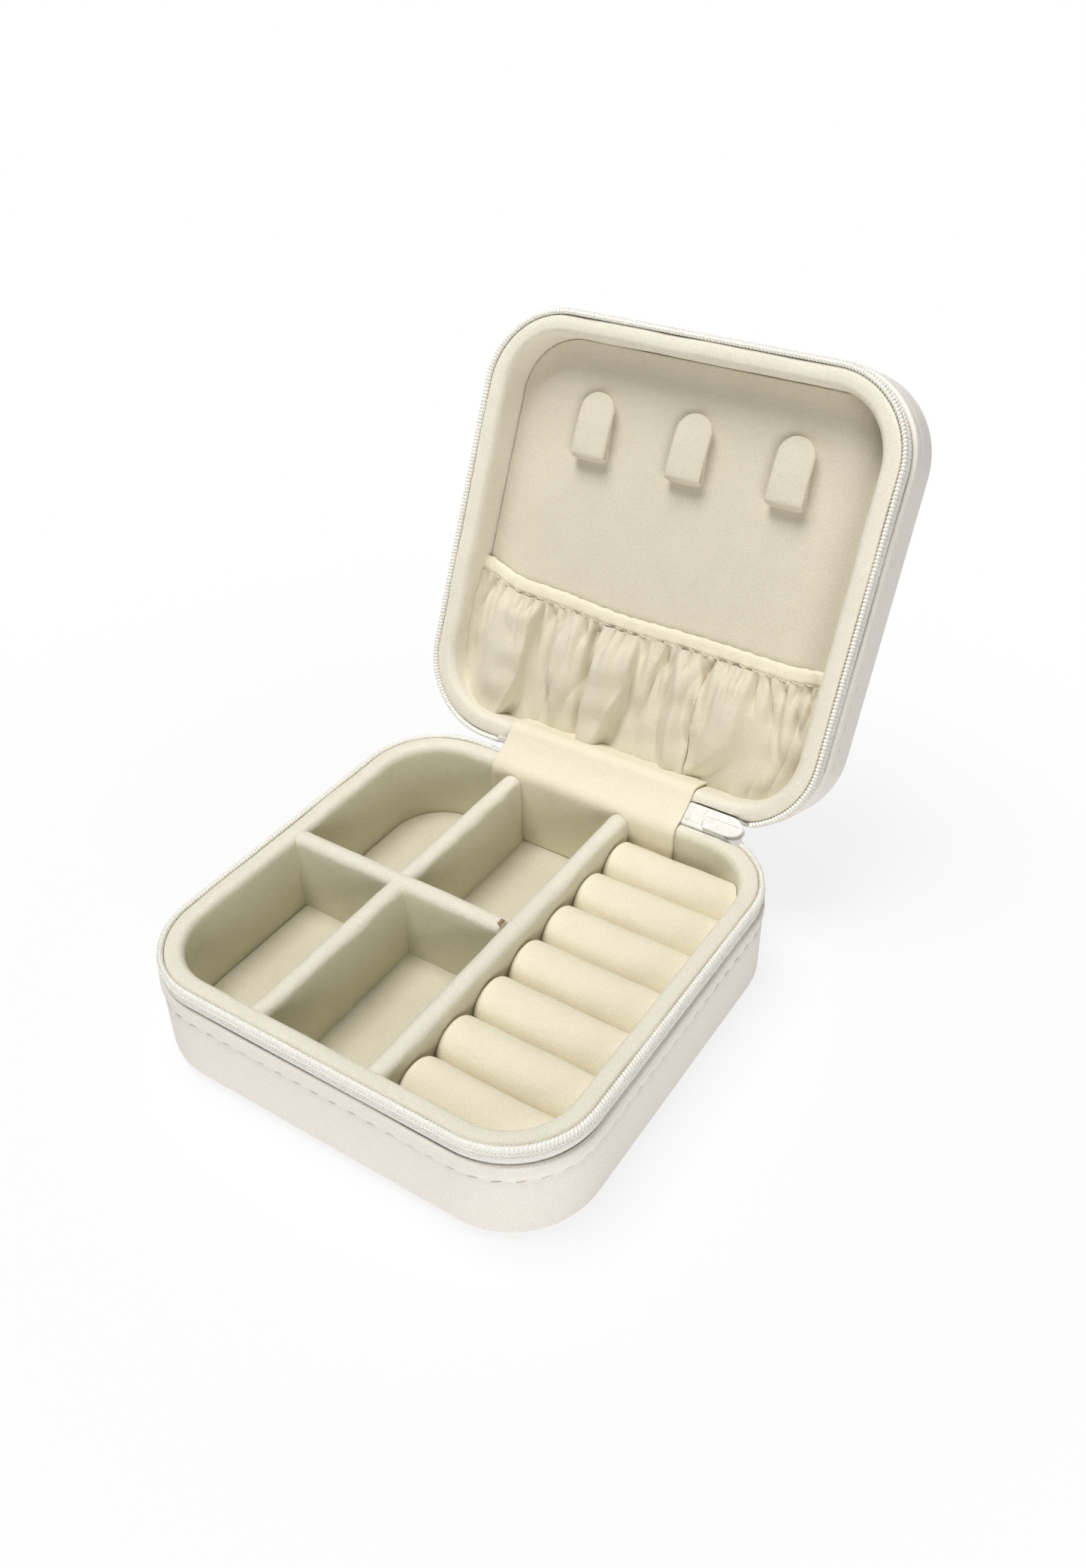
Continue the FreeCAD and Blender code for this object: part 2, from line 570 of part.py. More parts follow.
HOOK_TIP = f"({CAVITY_INSET} - box_depth + hook_setback)"
FOLD_RADIUS = "(hook_standoff / 2)"
FOLD_Y = f"({HOOK_TIP} + hook_length - {FOLD_RADIUS})"
HOOK_SEAT = "(panel_depth - glue_gap)"
FOLD_Z = f"({HOOK_SEAT} - {FOLD_RADIUS})"
INNER_RADIUS = f"({FOLD_RADIUS} - hook_strip)"
hook_count = round(amount("hook_count"))
for number in range(hook_count):
    hook = new_body(f"necklace_hook_{number + 1}", "lid")
    hook_x = f"(hook_row_offset + {number - (hook_count - 1) / 2} * hook_pitch)"
    sketch = new_sketch(hook, "YZ_Plane", out=hook_x)
    outline(sketch, [
        (f"{FOLD_Y} - hook_back_leg", HOOK_SEAT), (FOLD_Y, HOOK_SEAT, FOLD_RADIUS, -1),
        (f"{FOLD_Y} + {FOLD_RADIUS}", FOLD_Z, FOLD_RADIUS, -1), (FOLD_Y, f"{FOLD_Z} - {FOLD_RADIUS}"),
        (HOOK_TIP, f"{HOOK_SEAT} - hook_tip_gap - hook_strip"), (HOOK_TIP, f"{HOOK_SEAT} - hook_tip_gap"),
        (FOLD_Y, f"{FOLD_Z} - {INNER_RADIUS}", INNER_RADIUS, 1),
        (f"{FOLD_Y} + {INNER_RADIUS}", FOLD_Z, INNER_RADIUS, 1), (FOLD_Y, f"{FOLD_Z} + {INNER_RADIUS}"),
        (f"{FOLD_Y} - hook_back_leg", f"{HOOK_SEAT} - hook_strip")])
    pad(hook, sketch, "hook_width", symmetric=True)
    tip = new_sketch(hook, "XY_Plane", right=hook_x, up=HOOK_TIP)
    outline(tip, [
        ("-hook_width / 2", "hook_width / 2", "hook_width / 2", 1),
        ("0", "0", "hook_width / 2", 1), ("hook_width / 2", "hook_width / 2"),
        ("hook_width", "hook_width / 2"), ("hook_width", "-hook_width"),
        ("-hook_width", "-hook_width"), ("-hook_width", "hook_width / 2")])
    cut(hook, tip, both_ways=True)

# Elastic pocket: hem with the elastic in its tunnel, gathered cloth below it

POCKET_WALL = f"(-{CAVITY_INSET})"
HEM_TOP = f"({POCKET_WALL} - pocket_height)"
HEM_LOW = f"({HEM_TOP} + hem_height)"
HEM_SEAT = "(panel_depth - pocket_seat)"
POCKET_HALF = f"({CAVITY_X} - pocket_side_gap)"


def stadium(sketch, start, end, low, high):
    """Flat section with round ends, each end two quarter circles."""
    radius = f"((({high}) - ({low})) / 2)"
    middle = f"((({high}) + ({low})) / 2)"
    outline(sketch, [
        (f"{start} + {radius}", low), (f"{end} - {radius}", low, radius, 1), (end, middle, radius, 1),
        (f"{end} - {radius}", high), (f"{start} + {radius}", high, radius, 1), (start, middle, radius, 1)])


hem = new_body("pocket_hem", "lid")
sketch = new_sketch(hem, "YZ_Plane")
stadium(sketch, HEM_TOP, HEM_LOW, f"{HEM_SEAT} - hem_thickness", HEM_SEAT)
stadium(sketch, f"{HEM_TOP} + hem_wall", f"{HEM_LOW} - hem_wall",
        f"{HEM_SEAT} - hem_thickness + hem_wall", f"{HEM_SEAT} - hem_wall")
pad(hem, sketch, f"2 * {POCKET_HALF}", symmetric=True)

elastic = new_body("pocket_elastic", "lid")
sketch = new_sketch(elastic, "YZ_Plane")
stadium(sketch, f"{HEM_TOP} + hem_wall + elastic_gap", f"{HEM_LOW} - hem_wall - elastic_gap",
        f"{HEM_SEAT} - hem_thickness + hem_wall + elastic_gap", f"{HEM_SEAT} - hem_wall - elastic_gap")
pad(elastic, sketch, f"2 * {POCKET_HALF}", symmetric=True)

# Each station of the cloth: share of its height below the hem, share of the bulge, share of the fold depth
STATIONS = (
    (0.0, 0.25, 0.45), (0.2, 0.75, 0.9), (0.5, 1.0, 1.0),
    (0.75, 0.75, 0.8), (0.92, 0.3, 0.6), (1.0, 0.0, 0.4))
SIDE_POWER = 6

cloth_top = amount(f"{HEM_LOW} + glue_gap")
cloth_low = amount(f"{POCKET_WALL} - {STRAP_STACK} - pocket_side_gap")
fold_count = round(amount(f"2 * {POCKET_HALF} / fold_width"))


def pocket_half_width(y):
    """Half width of the pocket at a place in the lid: it follows the recess's round corners."""
    into_corner = y - amount(f"{POCKET_WALL} - {CAVITY_RADIUS}")
    radius = amount(CAVITY_RADIUS)
    narrowing = radius - math.sqrt(radius ** 2 - max(into_corner, 0.0) ** 2)
    return amount(POCKET_HALF) - narrowing


def cloth_section(share, bulge, depth):
    """Closed wire across the pocket: a row of arched folds, and the same row one thickness in."""
    y = cloth_top + (cloth_low - cloth_top) * share
    half = pocket_half_width(y)

    def height(position, crest):
        side = 1.0 - abs(position) ** SIDE_POWER
        fullness = bulge * amount("pocket_bulge") + crest * depth * amount("fold_depth")
        return amount("panel_depth - pocket_seat") - fullness * side

    def row(offset):
        arcs = []
        for fold in range(fold_count):
            spots = [2 * (fold + part) / fold_count - 1 for part in (0.0, 0.5, 1.0)]
            heights = [height(spot, crest) - offset for spot, crest in zip(spots, (0, 1, 0))]
            points = [Vector(half * spot, y, level) for spot, level in zip(spots, heights)]
            arcs.append(Part.Arc(*points).toShape())
        return arcs

    front, back = row(amount("cloth_thickness")), row(0.0)
    left = Part.makeLine(front[0].Vertexes[0].Point, back[0].Vertexes[0].Point)
    right = Part.makeLine(front[-1].Vertexes[-1].Point, back[-1].Vertexes[-1].Point)
    return Part.Wire(front + [right] + back[::-1] + [left])


pocket = document.addObject("Part::Feature", "pocket_cloth")
pocket.Label = "pocket_cloth"
pocket.Shape = Part.makeLoft([cloth_section(*station) for station in STATIONS], True, True)
place(pocket, "lid")
pieces.append(pocket)

# Zip slider, drawn about the hinge line with the chain running along X

chain = new_body("zip_chain", "slider")
CHAIN_LEFT = f"({TAPE_END_X} + stop_length / 2 + glue_gap)"
sketch = new_sketch(chain, "YZ_Plane", out=CHAIN_LEFT)
rectangle(sketch, f"{CHAIN_Y} - chain_thickness / 2", f"{CHAIN_Y} + chain_thickness / 2",
          "-chain_width / 2", "chain_width / 2")
pad(chain, sketch, f"{SLIDER_LEFT} + chain_entry - {CHAIN_LEFT}")
soften(chain, "coil_round", lambda edge: edge.BoundBox.XLength > TOUCH)

stop = new_body("zip_bottom_stop", "slider")
sketch = new_sketch(stop, "YZ_Plane", out=TAPE_END_X)
rectangle(sketch, f"{CHAIN_Y} - chain_thickness / 2", f"{CHAIN_Y} + chain_thickness / 2",
          "-chain_width / 2", "chain_width / 2")
pad(stop, sketch, "stop_length / 2")
soften(stop, "coil_round / 2", lambda edge: edge.BoundBox.XLength > TOUCH)

slider = new_body("zip_slider", "slider")


def slider_plate(inner_face):
    """Shield-shaped plate, straight at the closed chain, rounded at the nose; it grows outwards."""
    sketch = new_sketch(slider, "XZ_Plane", out=f"-({inner_face}) - slider_plate")
    nose_radius = "((slider_nose ^ 2 + slider_width ^ 2 / 4) / (2 * slider_nose))"
    outline(sketch, [
        (SLIDER_LEFT, "-slider_width / 2"),
        (f"{SLIDER_RIGHT} - slider_nose", "-slider_width / 2", nose_radius, 1),
        (SLIDER_RIGHT, "0", nose_radius, 1),
        (f"{SLIDER_RIGHT} - slider_nose", "slider_width / 2"), (SLIDER_LEFT, "slider_width / 2")])
    pad(slider, sketch, "slider_plate")


slider_plate(f"{CHAIN_Y} + {CHANNEL}")
neck = new_sketch(slider, "XZ_Plane", out=f"-({CHAIN_Y} + {CHANNEL})")
rectangle(neck, f"{SLIDER_RIGHT} - neck_setback - neck_length", f"{SLIDER_RIGHT} - neck_setback",
          "-neck_width / 2", "neck_width / 2")
pad(slider, neck, f"2 * {CHANNEL}")
slider_plate(f"{CHAIN_Y} - {CHANNEL} - slider_plate")

bridge = new_sketch(slider, "XY_Plane")
BRIDGE_LEFT = f"({SLIDER_X} - bridge_span / 2)"
BRIDGE_RIGHT = f"({SLIDER_X} + bridge_span / 2)"
BRIDGE_UNDER = f"({OUTER_FACE} + bridge_clear)"
outline(bridge, [
    (BRIDGE_LEFT, OUTER_FACE), (f"{BRIDGE_LEFT} + bridge_bar", OUTER_FACE),
    (f"{BRIDGE_LEFT} + bridge_bar", BRIDGE_UNDER), (f"{BRIDGE_RIGHT} - bridge_bar", BRIDGE_UNDER),
    (f"{BRIDGE_RIGHT} - bridge_bar", OUTER_FACE), (BRIDGE_RIGHT, OUTER_FACE),
    (BRIDGE_RIGHT, BRIDGE_UNDER), (f"{BRIDGE_RIGHT} - bridge_bar", f"{BRIDGE_UNDER} + bridge_bar"),
    (f"{BRIDGE_LEFT} + bridge_bar", f"{BRIDGE_UNDER} + bridge_bar"), (BRIDGE_LEFT, BRIDGE_UNDER)])
pad(slider, bridge, "bridge_width", symmetric=True)

# Pull tab: its eye goes round the bridge, its round bar turns under it, and it hangs straight out

pull = new_body("zip_pull", "slider")
PIN_Y = f"({OUTER_FACE} + bridge_clear / 2)"
EYE_END = f"({PIN_Y} + pull_eye_length)"
sketch = new_sketch(pull, "YZ_Plane", out=SLIDER_X)
outline(sketch, [
    (PIN_Y, "-pull_neck_width / 2"), (f"{EYE_END}", "-pull_neck_width / 2"),
    (f"{EYE_END} + pull_thickness", "-pull_width / 2"),
    (f"{PIN_Y} + pull_length - pull_width / 2", "-pull_width / 2", "pull_width / 2", 1),
    (f"{PIN_Y} + pull_length", "0", "pull_width / 2", 1),
    (f"{PIN_Y} + pull_length - pull_width / 2", "pull_width / 2"),
    (f"{EYE_END} + pull_thickness", "pull_width / 2"),
    (f"{EYE_END}", "pull_neck_width / 2"), (PIN_Y, "pull_neck_width / 2"),
    (PIN_Y, "pull_eye_width / 2"), (f"{EYE_END}", "pull_eye_width / 2"),
    (f"{EYE_END}", "-pull_eye_width / 2"), (PIN_Y, "-pull_eye_width / 2")])
pad(pull, sketch, "pull_thickness", symmetric=True)
pin = new_sketch(pull, "XY_Plane", right=SLIDER_X, up=PIN_Y)
circle(pin, "pull_pin_diameter / 2")
pad(pull, pin, "pull_neck_width", symmetric=True)

# Check every object, then write each piece to its own file

document.recompute()
for item in document.Objects:
    if {"Invalid", "Error"} & set(item.State):
        raise RuntimeError(f"{item.Label} failed: {item.State}")
for piece in pieces:
    shape = piece.Shape
    if shape.isNull() or not shape.isValid() or len(shape.Solids) != 1:
        raise RuntimeError(f"{piece.Label} is not one sound solid")

os.makedirs("parts", exist_ok=True)
for piece in pieces:
    piece.Shape.exportStep(f"parts/{piece.Label}.step")
print(f"{len(pieces)} pieces written")
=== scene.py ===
"""Small square jewelry box with a zip, standing open: its leather, velvet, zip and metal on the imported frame.

Lengths are millimetres in the row frame: the origin is the middle of the underside, +X runs right, +Y back
to the hinge and +Z up. Pieces of the base and of the lid are worked out with their depth from the parting
plane, where the two zip coils meet, and pieces of the lid are then swung open about the hinge line.
"""
import math
import bmesh
import bpy
import numpy as np
from mathutils import Matrix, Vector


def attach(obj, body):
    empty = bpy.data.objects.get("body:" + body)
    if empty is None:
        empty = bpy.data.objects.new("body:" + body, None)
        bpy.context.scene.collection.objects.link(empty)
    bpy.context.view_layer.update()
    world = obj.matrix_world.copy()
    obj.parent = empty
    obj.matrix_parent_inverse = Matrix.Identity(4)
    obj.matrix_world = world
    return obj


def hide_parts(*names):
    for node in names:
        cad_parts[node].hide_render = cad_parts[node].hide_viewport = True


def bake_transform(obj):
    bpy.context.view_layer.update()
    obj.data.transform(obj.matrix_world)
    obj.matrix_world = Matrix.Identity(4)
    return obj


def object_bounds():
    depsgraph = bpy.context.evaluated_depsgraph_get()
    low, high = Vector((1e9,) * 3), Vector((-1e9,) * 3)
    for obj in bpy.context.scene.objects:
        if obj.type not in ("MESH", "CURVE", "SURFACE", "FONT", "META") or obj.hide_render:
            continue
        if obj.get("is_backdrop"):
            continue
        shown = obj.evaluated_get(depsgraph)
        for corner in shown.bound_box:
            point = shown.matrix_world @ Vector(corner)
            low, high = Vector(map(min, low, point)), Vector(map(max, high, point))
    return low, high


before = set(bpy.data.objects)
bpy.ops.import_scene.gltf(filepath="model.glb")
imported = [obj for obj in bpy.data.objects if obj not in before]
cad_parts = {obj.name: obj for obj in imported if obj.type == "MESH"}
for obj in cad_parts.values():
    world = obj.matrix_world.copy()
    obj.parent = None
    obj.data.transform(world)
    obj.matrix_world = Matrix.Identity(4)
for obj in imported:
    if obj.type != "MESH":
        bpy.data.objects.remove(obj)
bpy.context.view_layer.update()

# Leather covers: grained off-white artificial leather wrapped over board, one shell for the base and one for
# the lid. The open edge is turned in over the zip tape and sewn down, and the lid's top is padded with foam.

HALF_X, HALF_Y, CORNER = 50.0, 49.5, 19.0
BASE_HEIGHT, OPEN_ANGLE = 25.0, math.radians(114.0)
EDGE_DEPTH = {"base": 5.0, "lid": 6.0}
CLOSED_DEPTH = {"base": BASE_HEIGHT, "lid": 20.0}
CROWN = {"base": 0.0, "lid": 1.0}
LEATHER, EDGE_ROUND = 1.0, 3.0
SEAM_DROP, SEAM_PINCH, SWELL_DROP, BAND_SWELL = 4.0, 0.26, 1.6, 0.22
FOLD_INSET, FOLD_HALF, FOLD_RISE = 0.45, 0.55, 0.6
LEATHER_COLOUR, LEATHER_SHADE = (0.970, 0.917, 0.842), (0.925, 0.868, 0.790)
CORE_X, CORE_Y, QUARTER = HALF_X - CORNER, HALF_Y - CORNER, CORNER * math.pi / 2
SIDE = [QUARTER, 2 * CORE_Y, QUARTER]
MARKS = np.cumsum([0, CORE_X, *SIDE, 2 * CORE_X, *SIDE, CORE_X])
ROUND_TRIP = MARKS[-1]


def joined(*axes):
    """Points from arrays of coordinates that fit together."""
    return np.stack(np.broadcast_arrays(*axes), axis=-1)


def unit(vectors):
    return vectors / np.linalg.norm(vectors, axis=-1, keepdims=True)


def bell(distance, width):
    """Bell curve: 1 at no distance, a little over a third at one width."""
    return np.exp(-(distance / width) ** 2)


def outline(run, inset):
    """Point of the box's outline seen from above, at a run from the middle of the back, clockwise: a point of
    the inner rectangle of corner centres, plus the corner radius less the inset along the outward normal."""
    core_x = np.interp(run, MARKS, CORE_X * np.array([0, 1, 1, 1, 1, -1, -1, -1, -1, 0]))
    core_y = np.interp(run, MARKS, CORE_Y * np.array([1, 1, 1, -1, -1, -1, -1, 1, 1, 1]))
    facing = np.interp(run, MARKS, math.pi / 2 * np.array([1, 1, 0, 0, -1, -1, -2, -2, -3, -3]))
    return core_x + (CORNER - inset) * np.cos(facing), core_y + (CORNER - inset) * np.sin(facing)


def carry(run, inset, depth):
    """Section of insets and depths carried round the outline: one row of points for each run."""
    return joined(*outline(run[:, None], inset), depth)


def swing(points, angle=OPEN_ANGLE):
    """Points from the hinge line with the box shut, as x, back and up or as back and up alone, turned back
    about that line and put into the row frame."""
    *x, back, up = np.moveaxis(points, -1, 0)
    return joined(*x, HALF_Y + back * np.cos(angle) + up * np.sin(angle),
                  BASE_HEIGHT - back * np.sin(angle) + up * np.cos(angle))


def place(half, points):
    """Points as x, y and depth from the parting plane, put into the base or into the open lid."""
    if half == "base":
        return points * [1, 1, -1] + [0, 0, BASE_HEIGHT]
    return swing(points - [0, HALF_Y, 0])


def swell(points, wavelength, seed):
    """Smooth uneven field of about -1 to 1: twelve plane waves in seeded directions, added up."""
    draw = np.random.default_rng(seed)
    waves = unit(draw.normal(size=(12, 3))) * draw.uniform(0.6, 1.5, (12, 1)) * 2 * math.pi / wavelength
    return np.sin(points @ waves.T + draw.uniform(0, 2 * math.pi, 12)).sum(axis=-1) / math.sqrt(24)


def cap(ring, shares):
    """Rings that shrink from a ring to its middle, all at its depth."""
    return joined(ring[:, 0] * shares[:, None], ring[:, 1] * shares[:, None], ring[:, 2])


def hoop(grid):
    """Part for one grid whose columns run round in a loop."""
    return grid[None], False, True


def steps(values):
    """Distances along a grid from its first row, with the way back to that row at the end."""
    gaps = np.linalg.norm(np.roll(values, -1, axis=0) - values, axis=-1).mean(axis=1)
    return np.r_[0.0, np.cumsum(gaps)]


def add(name, data):
    """New object in the scene."""
    made = bpy.data.objects.new(name, data)
    bpy.context.scene.collection.objects.link(made)
    return made


def build(name, parts, material, crease=50.0):
    """One mesh from parts. A part is an array of grids of points, and whether each grid's rows and its
    columns run round in a loop. The map coordinates are lengths along the first grid of a part."""
    corners, faces, maps, first = [], [], [], 0
    for grids, loop_rows, loop_columns in parts:
        count, rows, columns = grids.shape[:3]
        row, column = np.meshgrid(np.arange(rows if loop_rows else rows - 1),
                                  np.arange(columns if loop_columns else columns - 1), indexing="ij")
        row = joined(row, row + 1, row + 1, row).reshape(-1, 4)
        column = joined(column, column, column + 1, column + 1).reshape(-1, 4)
        numbers = (row % rows) * columns + column % columns
        copies = first + np.arange(count)[:, None, None] * rows * columns
        faces.append((copies + numbers).reshape(-1, 4))
        lengths = joined(steps(grids[0])[row], steps(grids[0].swapaxes(0, 1))[column])
        maps.append(np.broadcast_to(lengths, (count,) + lengths.shape).reshape(-1, 2))
        corners.append(grids.reshape(-1, 3))
        first += count * rows * columns
    mesh = bpy.data.meshes.new(name)
    mesh.from_pydata((np.concatenate(corners) * 0.001).tolist(), [], np.concatenate(faces).tolist())
    mesh.uv_layers.new(name="lengths").data.foreach_set("uv", (np.concatenate(maps) * 0.001).ravel())
    shape = bmesh.new()
    shape.from_mesh(mesh)
    bmesh.ops.remove_doubles(shape, verts=shape.verts, dist=1e-6)
    bmesh.ops.dissolve_degenerate(shape, edges=shape.edges, dist=1e-7)
    bmesh.ops.recalc_face_normals(shape, faces=shape.faces)
    shape.to_mesh(mesh)
    shape.free()
    mesh.shade_smooth()
    mesh.set_sharp_from_angle(angle=math.radians(crease))
    mesh.materials.append(material)
    return add(name, mesh)


def fit(piece, body, slot, *nodes):
    """The piece rides on a body and stands for the nodes. The finish slot is not used."""
    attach(piece, body)
    if nodes:
        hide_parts(*nodes)


def node(tree, kind, *links, **values):
    """Outputs of a new shader node: values set its properties, or else its sockets by name, and each link
    joins an output to one of its sockets or sets that socket to a number."""
    made = tree.nodes.new("ShaderNode" + kind)
    for name, value in values.items():
        if hasattr(made, name):
            setattr(made, name, value)
        else:
            made.inputs[name.replace("_", " ").title()].default_value = value
    for socket, source in links:
        if isinstance(source, float):
            made.inputs[socket].default_value = source
        else:
            tree.links.new(source, made.inputs[socket])
    return made.outputs


def noise(tree, spot, scale, detail, **values):
    """Factor of a noise texture at a place."""
    return node(tree, "TexNoise", ("Vector", spot), Scale=scale, Detail=detail, **values)["Fac"]


def finish(name, roughness, **values):
    """New material with its shader: the material, its tree and the shader."""
    material = bpy.data.materials.new(name)
    material.use_nodes = True
    tree = material.node_tree
    shader = next(item for item in tree.nodes if item.type == "BSDF_PRINCIPLED")
    shader.inputs["Roughness"].default_value = roughness
    for socket, value in values.items():
        shader.inputs[socket.replace("_", " ").title().replace("Ior", "IOR")].default_value = value
    return material, tree, shader


def tint(shader, factor, *stops):
    """Base colour from a ramp of two (place, colour) stops along a factor."""
    tree = shader.id_data
    ramp = tree.nodes.new("ShaderNodeValToRGB")
    tree.links.new(factor, ramp.inputs["Fac"])
    for element, (spot, colour) in zip(ramp.color_ramp.elements, stops):
        element.position = spot
        element.color = (*colour, 1.0)
    tree.links.new(ramp.outputs["Color"], shader.inputs["Base Color"])
    return ramp.outputs["Color"]


def bump(shader, height, distance, strength, *under):
    """Surface relief from a height, on top of an earlier relief where one is given."""
    links = [("Height", height)] + [("Normal", relief) for relief in under]
    normal = node(shader.id_data, "Bump", *links, Distance=distance, Strength=strength)["Normal"]
    shader.id_data.links.new(normal, shader.inputs["Normal"])
    return normal


def leather_finish():
    """Fine grain: cells under a millimetre wide with warped creases between them, finer wrinkles and a few
    longer ones, all shallow. The colour is darker in the creases between the cells, which is painted shade, and
    in random patches along the longer wrinkles."""
    material, tree, shader = finish("off_white_leather", 0.42, Specular_IOR_level=0.55)
    spot = node(tree, "TexCoord")["Object"]
    warp = node(tree, "TexNoise", ("Vector", spot), Scale=700.0, Detail=3.0)["Color"]
    shift = node(tree, "VectorMath", (0, warp), operation="SCALE", Scale=0.0011)["Vector"]
    shifted = node(tree, "VectorMath", (0, spot), (1, shift), operation="ADD")["Vector"]
    cells = node(tree, "TexVoronoi", ("Vector", shifted), feature="DISTANCE_TO_EDGE", Scale=1150.0)
    pebble = node(tree, "MapRange", ("Value", cells["Distance"]), interpolation_type="SMOOTHSTEP",
                  From_max=0.3)["Result"]
    wrinkle = noise(tree, spot, 2600.0, 4.0, Roughness=0.6)
    longer = noise(tree, spot, 330.0, 5.0, Roughness=0.6, Distortion=0.8)
    mix = node(tree, "Math", (0, pebble), (1, longer), operation="MULTIPLY")["Value"]
    # Darker tone in the creases between cells: painted shade. Along the longer wrinkles it falls at random.
    tint(shader, mix, (0.0, LEATHER_SHADE), (0.5, LEATHER_COLOUR))
    fine = bump(shader, wrinkle, 0.00005, 0.4)
    long = bump(shader, longer, 0.0003, 0.35, fine)
    bump(shader, pebble, 0.00006, 0.5, long)
    return material


leather = leather_finish()


def cover_section(half):
    """Insets and rises from the closed face: inside floor, inside wall, turned edge, band swelling above and
    pinched at the row of stitches, rounded outer edge and closed face."""
    edge = CLOSED_DEPTH[half] - EDGE_DEPTH[half]
    fold, bend = np.linspace(0, math.pi, 9), np.linspace(0, math.pi / 2, 9)[1:]
    band = np.linspace(edge - 1.0, EDGE_ROUND, 30)
    side = SEAM_PINCH * bell(band - edge + SEAM_DROP, 0.8) - BAND_SWELL * bell(band - edge + SWELL_DROP, 1.3)
    flat = np.array([5.0, 8.0, 11.0, 14.0, 17.0])
    inner_wall = np.array([EDGE_ROUND + 2.0, edge - 4.0, edge - 1.5])
    inset = np.r_[flat[::-1], 1.6, LEATHER + 0 * inner_wall, FOLD_INSET + FOLD_HALF * np.cos(fold), side,
                  EDGE_ROUND * (1 - np.cos(bend)), flat]
    rise = np.r_[LEATHER + 0 * flat, 1.4, inner_wall, edge - FOLD_RISE + FOLD_RISE * np.sin(fold), band,
                 EDGE_ROUND * (1 - np.sin(bend)), 0 * flat]
    return inset, rise


for half in ("base", "lid"):
    inset, rise = cover_section(half)
    run = np.linspace(0, ROUND_TRIP, 244, endpoint=False)
    lift = CROWN[half] * (1 - np.exp(-np.maximum(inset - 1.0, 0) / 5.0)) * (rise < 0.9)
    depth = CLOSED_DEPTH[half] - rise + lift
    uneven = swell(carry(run, inset, depth), 30.0, 3) * np.clip((rise - 2.0) / 3.0, 0, 1)
    shell = carry(run, inset + 0.07 * uneven, depth)
    share = np.linspace(1, 0, 5)
    floor, face = cap(shell[:, 0], share), cap(shell[:, -1], share)
    face[..., 2] += 0.15 * CROWN[half] * (1 - share[:, None] ** 2)
    parts = [(place(half, shell)[None], True, False), hoop(place(half, floor)), hoop(place(half, face))]
    fit(build(f"{half}_leather", parts, leather), half, "leather", f"{half}_cover")

# Seam of each cover: one row of machine stitches in beige thread, four millimetres from the turned edge.
# Each stitch is a short strand that dives into the leather at both ends, a little aslant.

STITCH_PITCH, STITCH_LENGTH, STITCH_SLANT, THREAD = 4.4, 2.7, 0.16, 0.15


def thread_finish(name, light, dark):
    """Twisted yarn: light and dark bands along the stitch."""
    material, tree, shader = finish(name, 0.75, Sheen_weight=0.15)
    twist = node(tree, "TexWave", ("Vector", node(tree, "TexCoord")["UV"]), Scale=900.0, Distortion=1.5,
                 bands_direction="DIAGONAL")["Fac"]
    tint(shader, twist, (0.1, dark), (0.7, light))
    bump(shader, twist, 0.00005, 0.6)
    return material


seam_thread = thread_finish("beige_thread", (0.89, 0.83, 0.75), (0.79, 0.73, 0.65))


def circle(count):
    """Angles at even steps once round."""
    return np.linspace(0, 2 * math.pi, count, endpoint=False)


def dome(share, power=2, least=0.0):
    """Height of a round end at a share of the way out to its tip."""
    return np.sqrt(np.clip(1 - np.abs(share) ** power, least, 1))


def stitches(middle, along, outward, length, radius, lift):
    """Strands as grids: rings about a line that arches out from the surface and sinks in at its ends."""
    share = np.linspace(-1, 1, 7)[None, :, None, None]
    angle = circle(6)[None, None, :, None]
    along, outward, middle = (item[:, None, None, :] for item in (along, outward, middle))
    sideways = np.cross(along, outward)
    line = middle + along * share * length / 2 + outward * (lift - 2.2 * radius * share ** 4)
    return line + radius * dome(share, 6) * (np.cos(angle) * outward + np.sin(angle) * sideways)


def trail(half, run, inset, depth):
    """Line of points in one half of the box, at an inset and a depth for each run."""
    return place(half, joined(*outline(run, inset), depth))


for half in ("base", "lid"):
    run = np.arange(STITCH_PITCH / 2, ROUND_TRIP, ROUND_TRIP / round(ROUND_TRIP / STITCH_PITCH))
    depth = EDGE_DEPTH[half] + SEAM_DROP
    before, middle, after = (trail(half, run + shift, SEAM_PINCH, depth + STITCH_SLANT * shift)
                             for shift in (-1.0, 0.0, 1.0))
    outward = unit(middle - trail(half, run, 2.0, depth))
    sewn = stitches(middle, unit(after - before), outward, STITCH_LENGTH, THREAD, 0.04)
    fit(build(f"{half}_seam", [(sewn, False, True)], seam_thread), half, "zip_tape")

# Greyboard trays and foam: the stiff card inside each leather shell and the foam under the lid's top. They
# are closed in by leather and velvet, so the solids stay as they are, with a fibrous or a porous finish.


def cloudy_finish(name, roughness, scale, detail, grain, light, dark, spread, relief, **values):
    """Two tones mixed in irregular specks, raised a little: relief is a height and its strength."""
    material, tree, shader = finish(name, roughness, **values)
    specks = noise(tree, node(tree, "TexCoord")["Object"], scale, detail, Roughness=grain)
    tint(shader, specks, (0.5 - spread, dark), (0.5 + spread, light))
    bump(shader, specks, *relief)
    return material


def coat(material, *names):
    """Solids of the frame that show as they are take a material."""
    for name in names:
        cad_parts[name].data.materials.clear()
        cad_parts[name].data.materials.append(material)


greyboard = cloudy_finish("greyboard", 0.9, 1 / 0.0006, 5.0, 0.7, (0.44, 0.30, 0.18), (0.26, 0.16, 0.09),
                          0.15, (0.0002, 0.7))
foam = cloudy_finish("foam", 0.95, 1 / 0.0012, 5.0, 0.7, (0.86, 0.84, 0.78), (0.66, 0.63, 0.56),
                     0.15, (0.0004, 0.7))
coat(greyboard, "base_board", "lid_board")
coat(foam, "lid_foam")

# Zip tapes: cream woven polyester bands glued and sewn in behind the turned leather edges. Each swells out
# between the edge and the coil, which is sewn to its outer face, and both end beside the hinge.

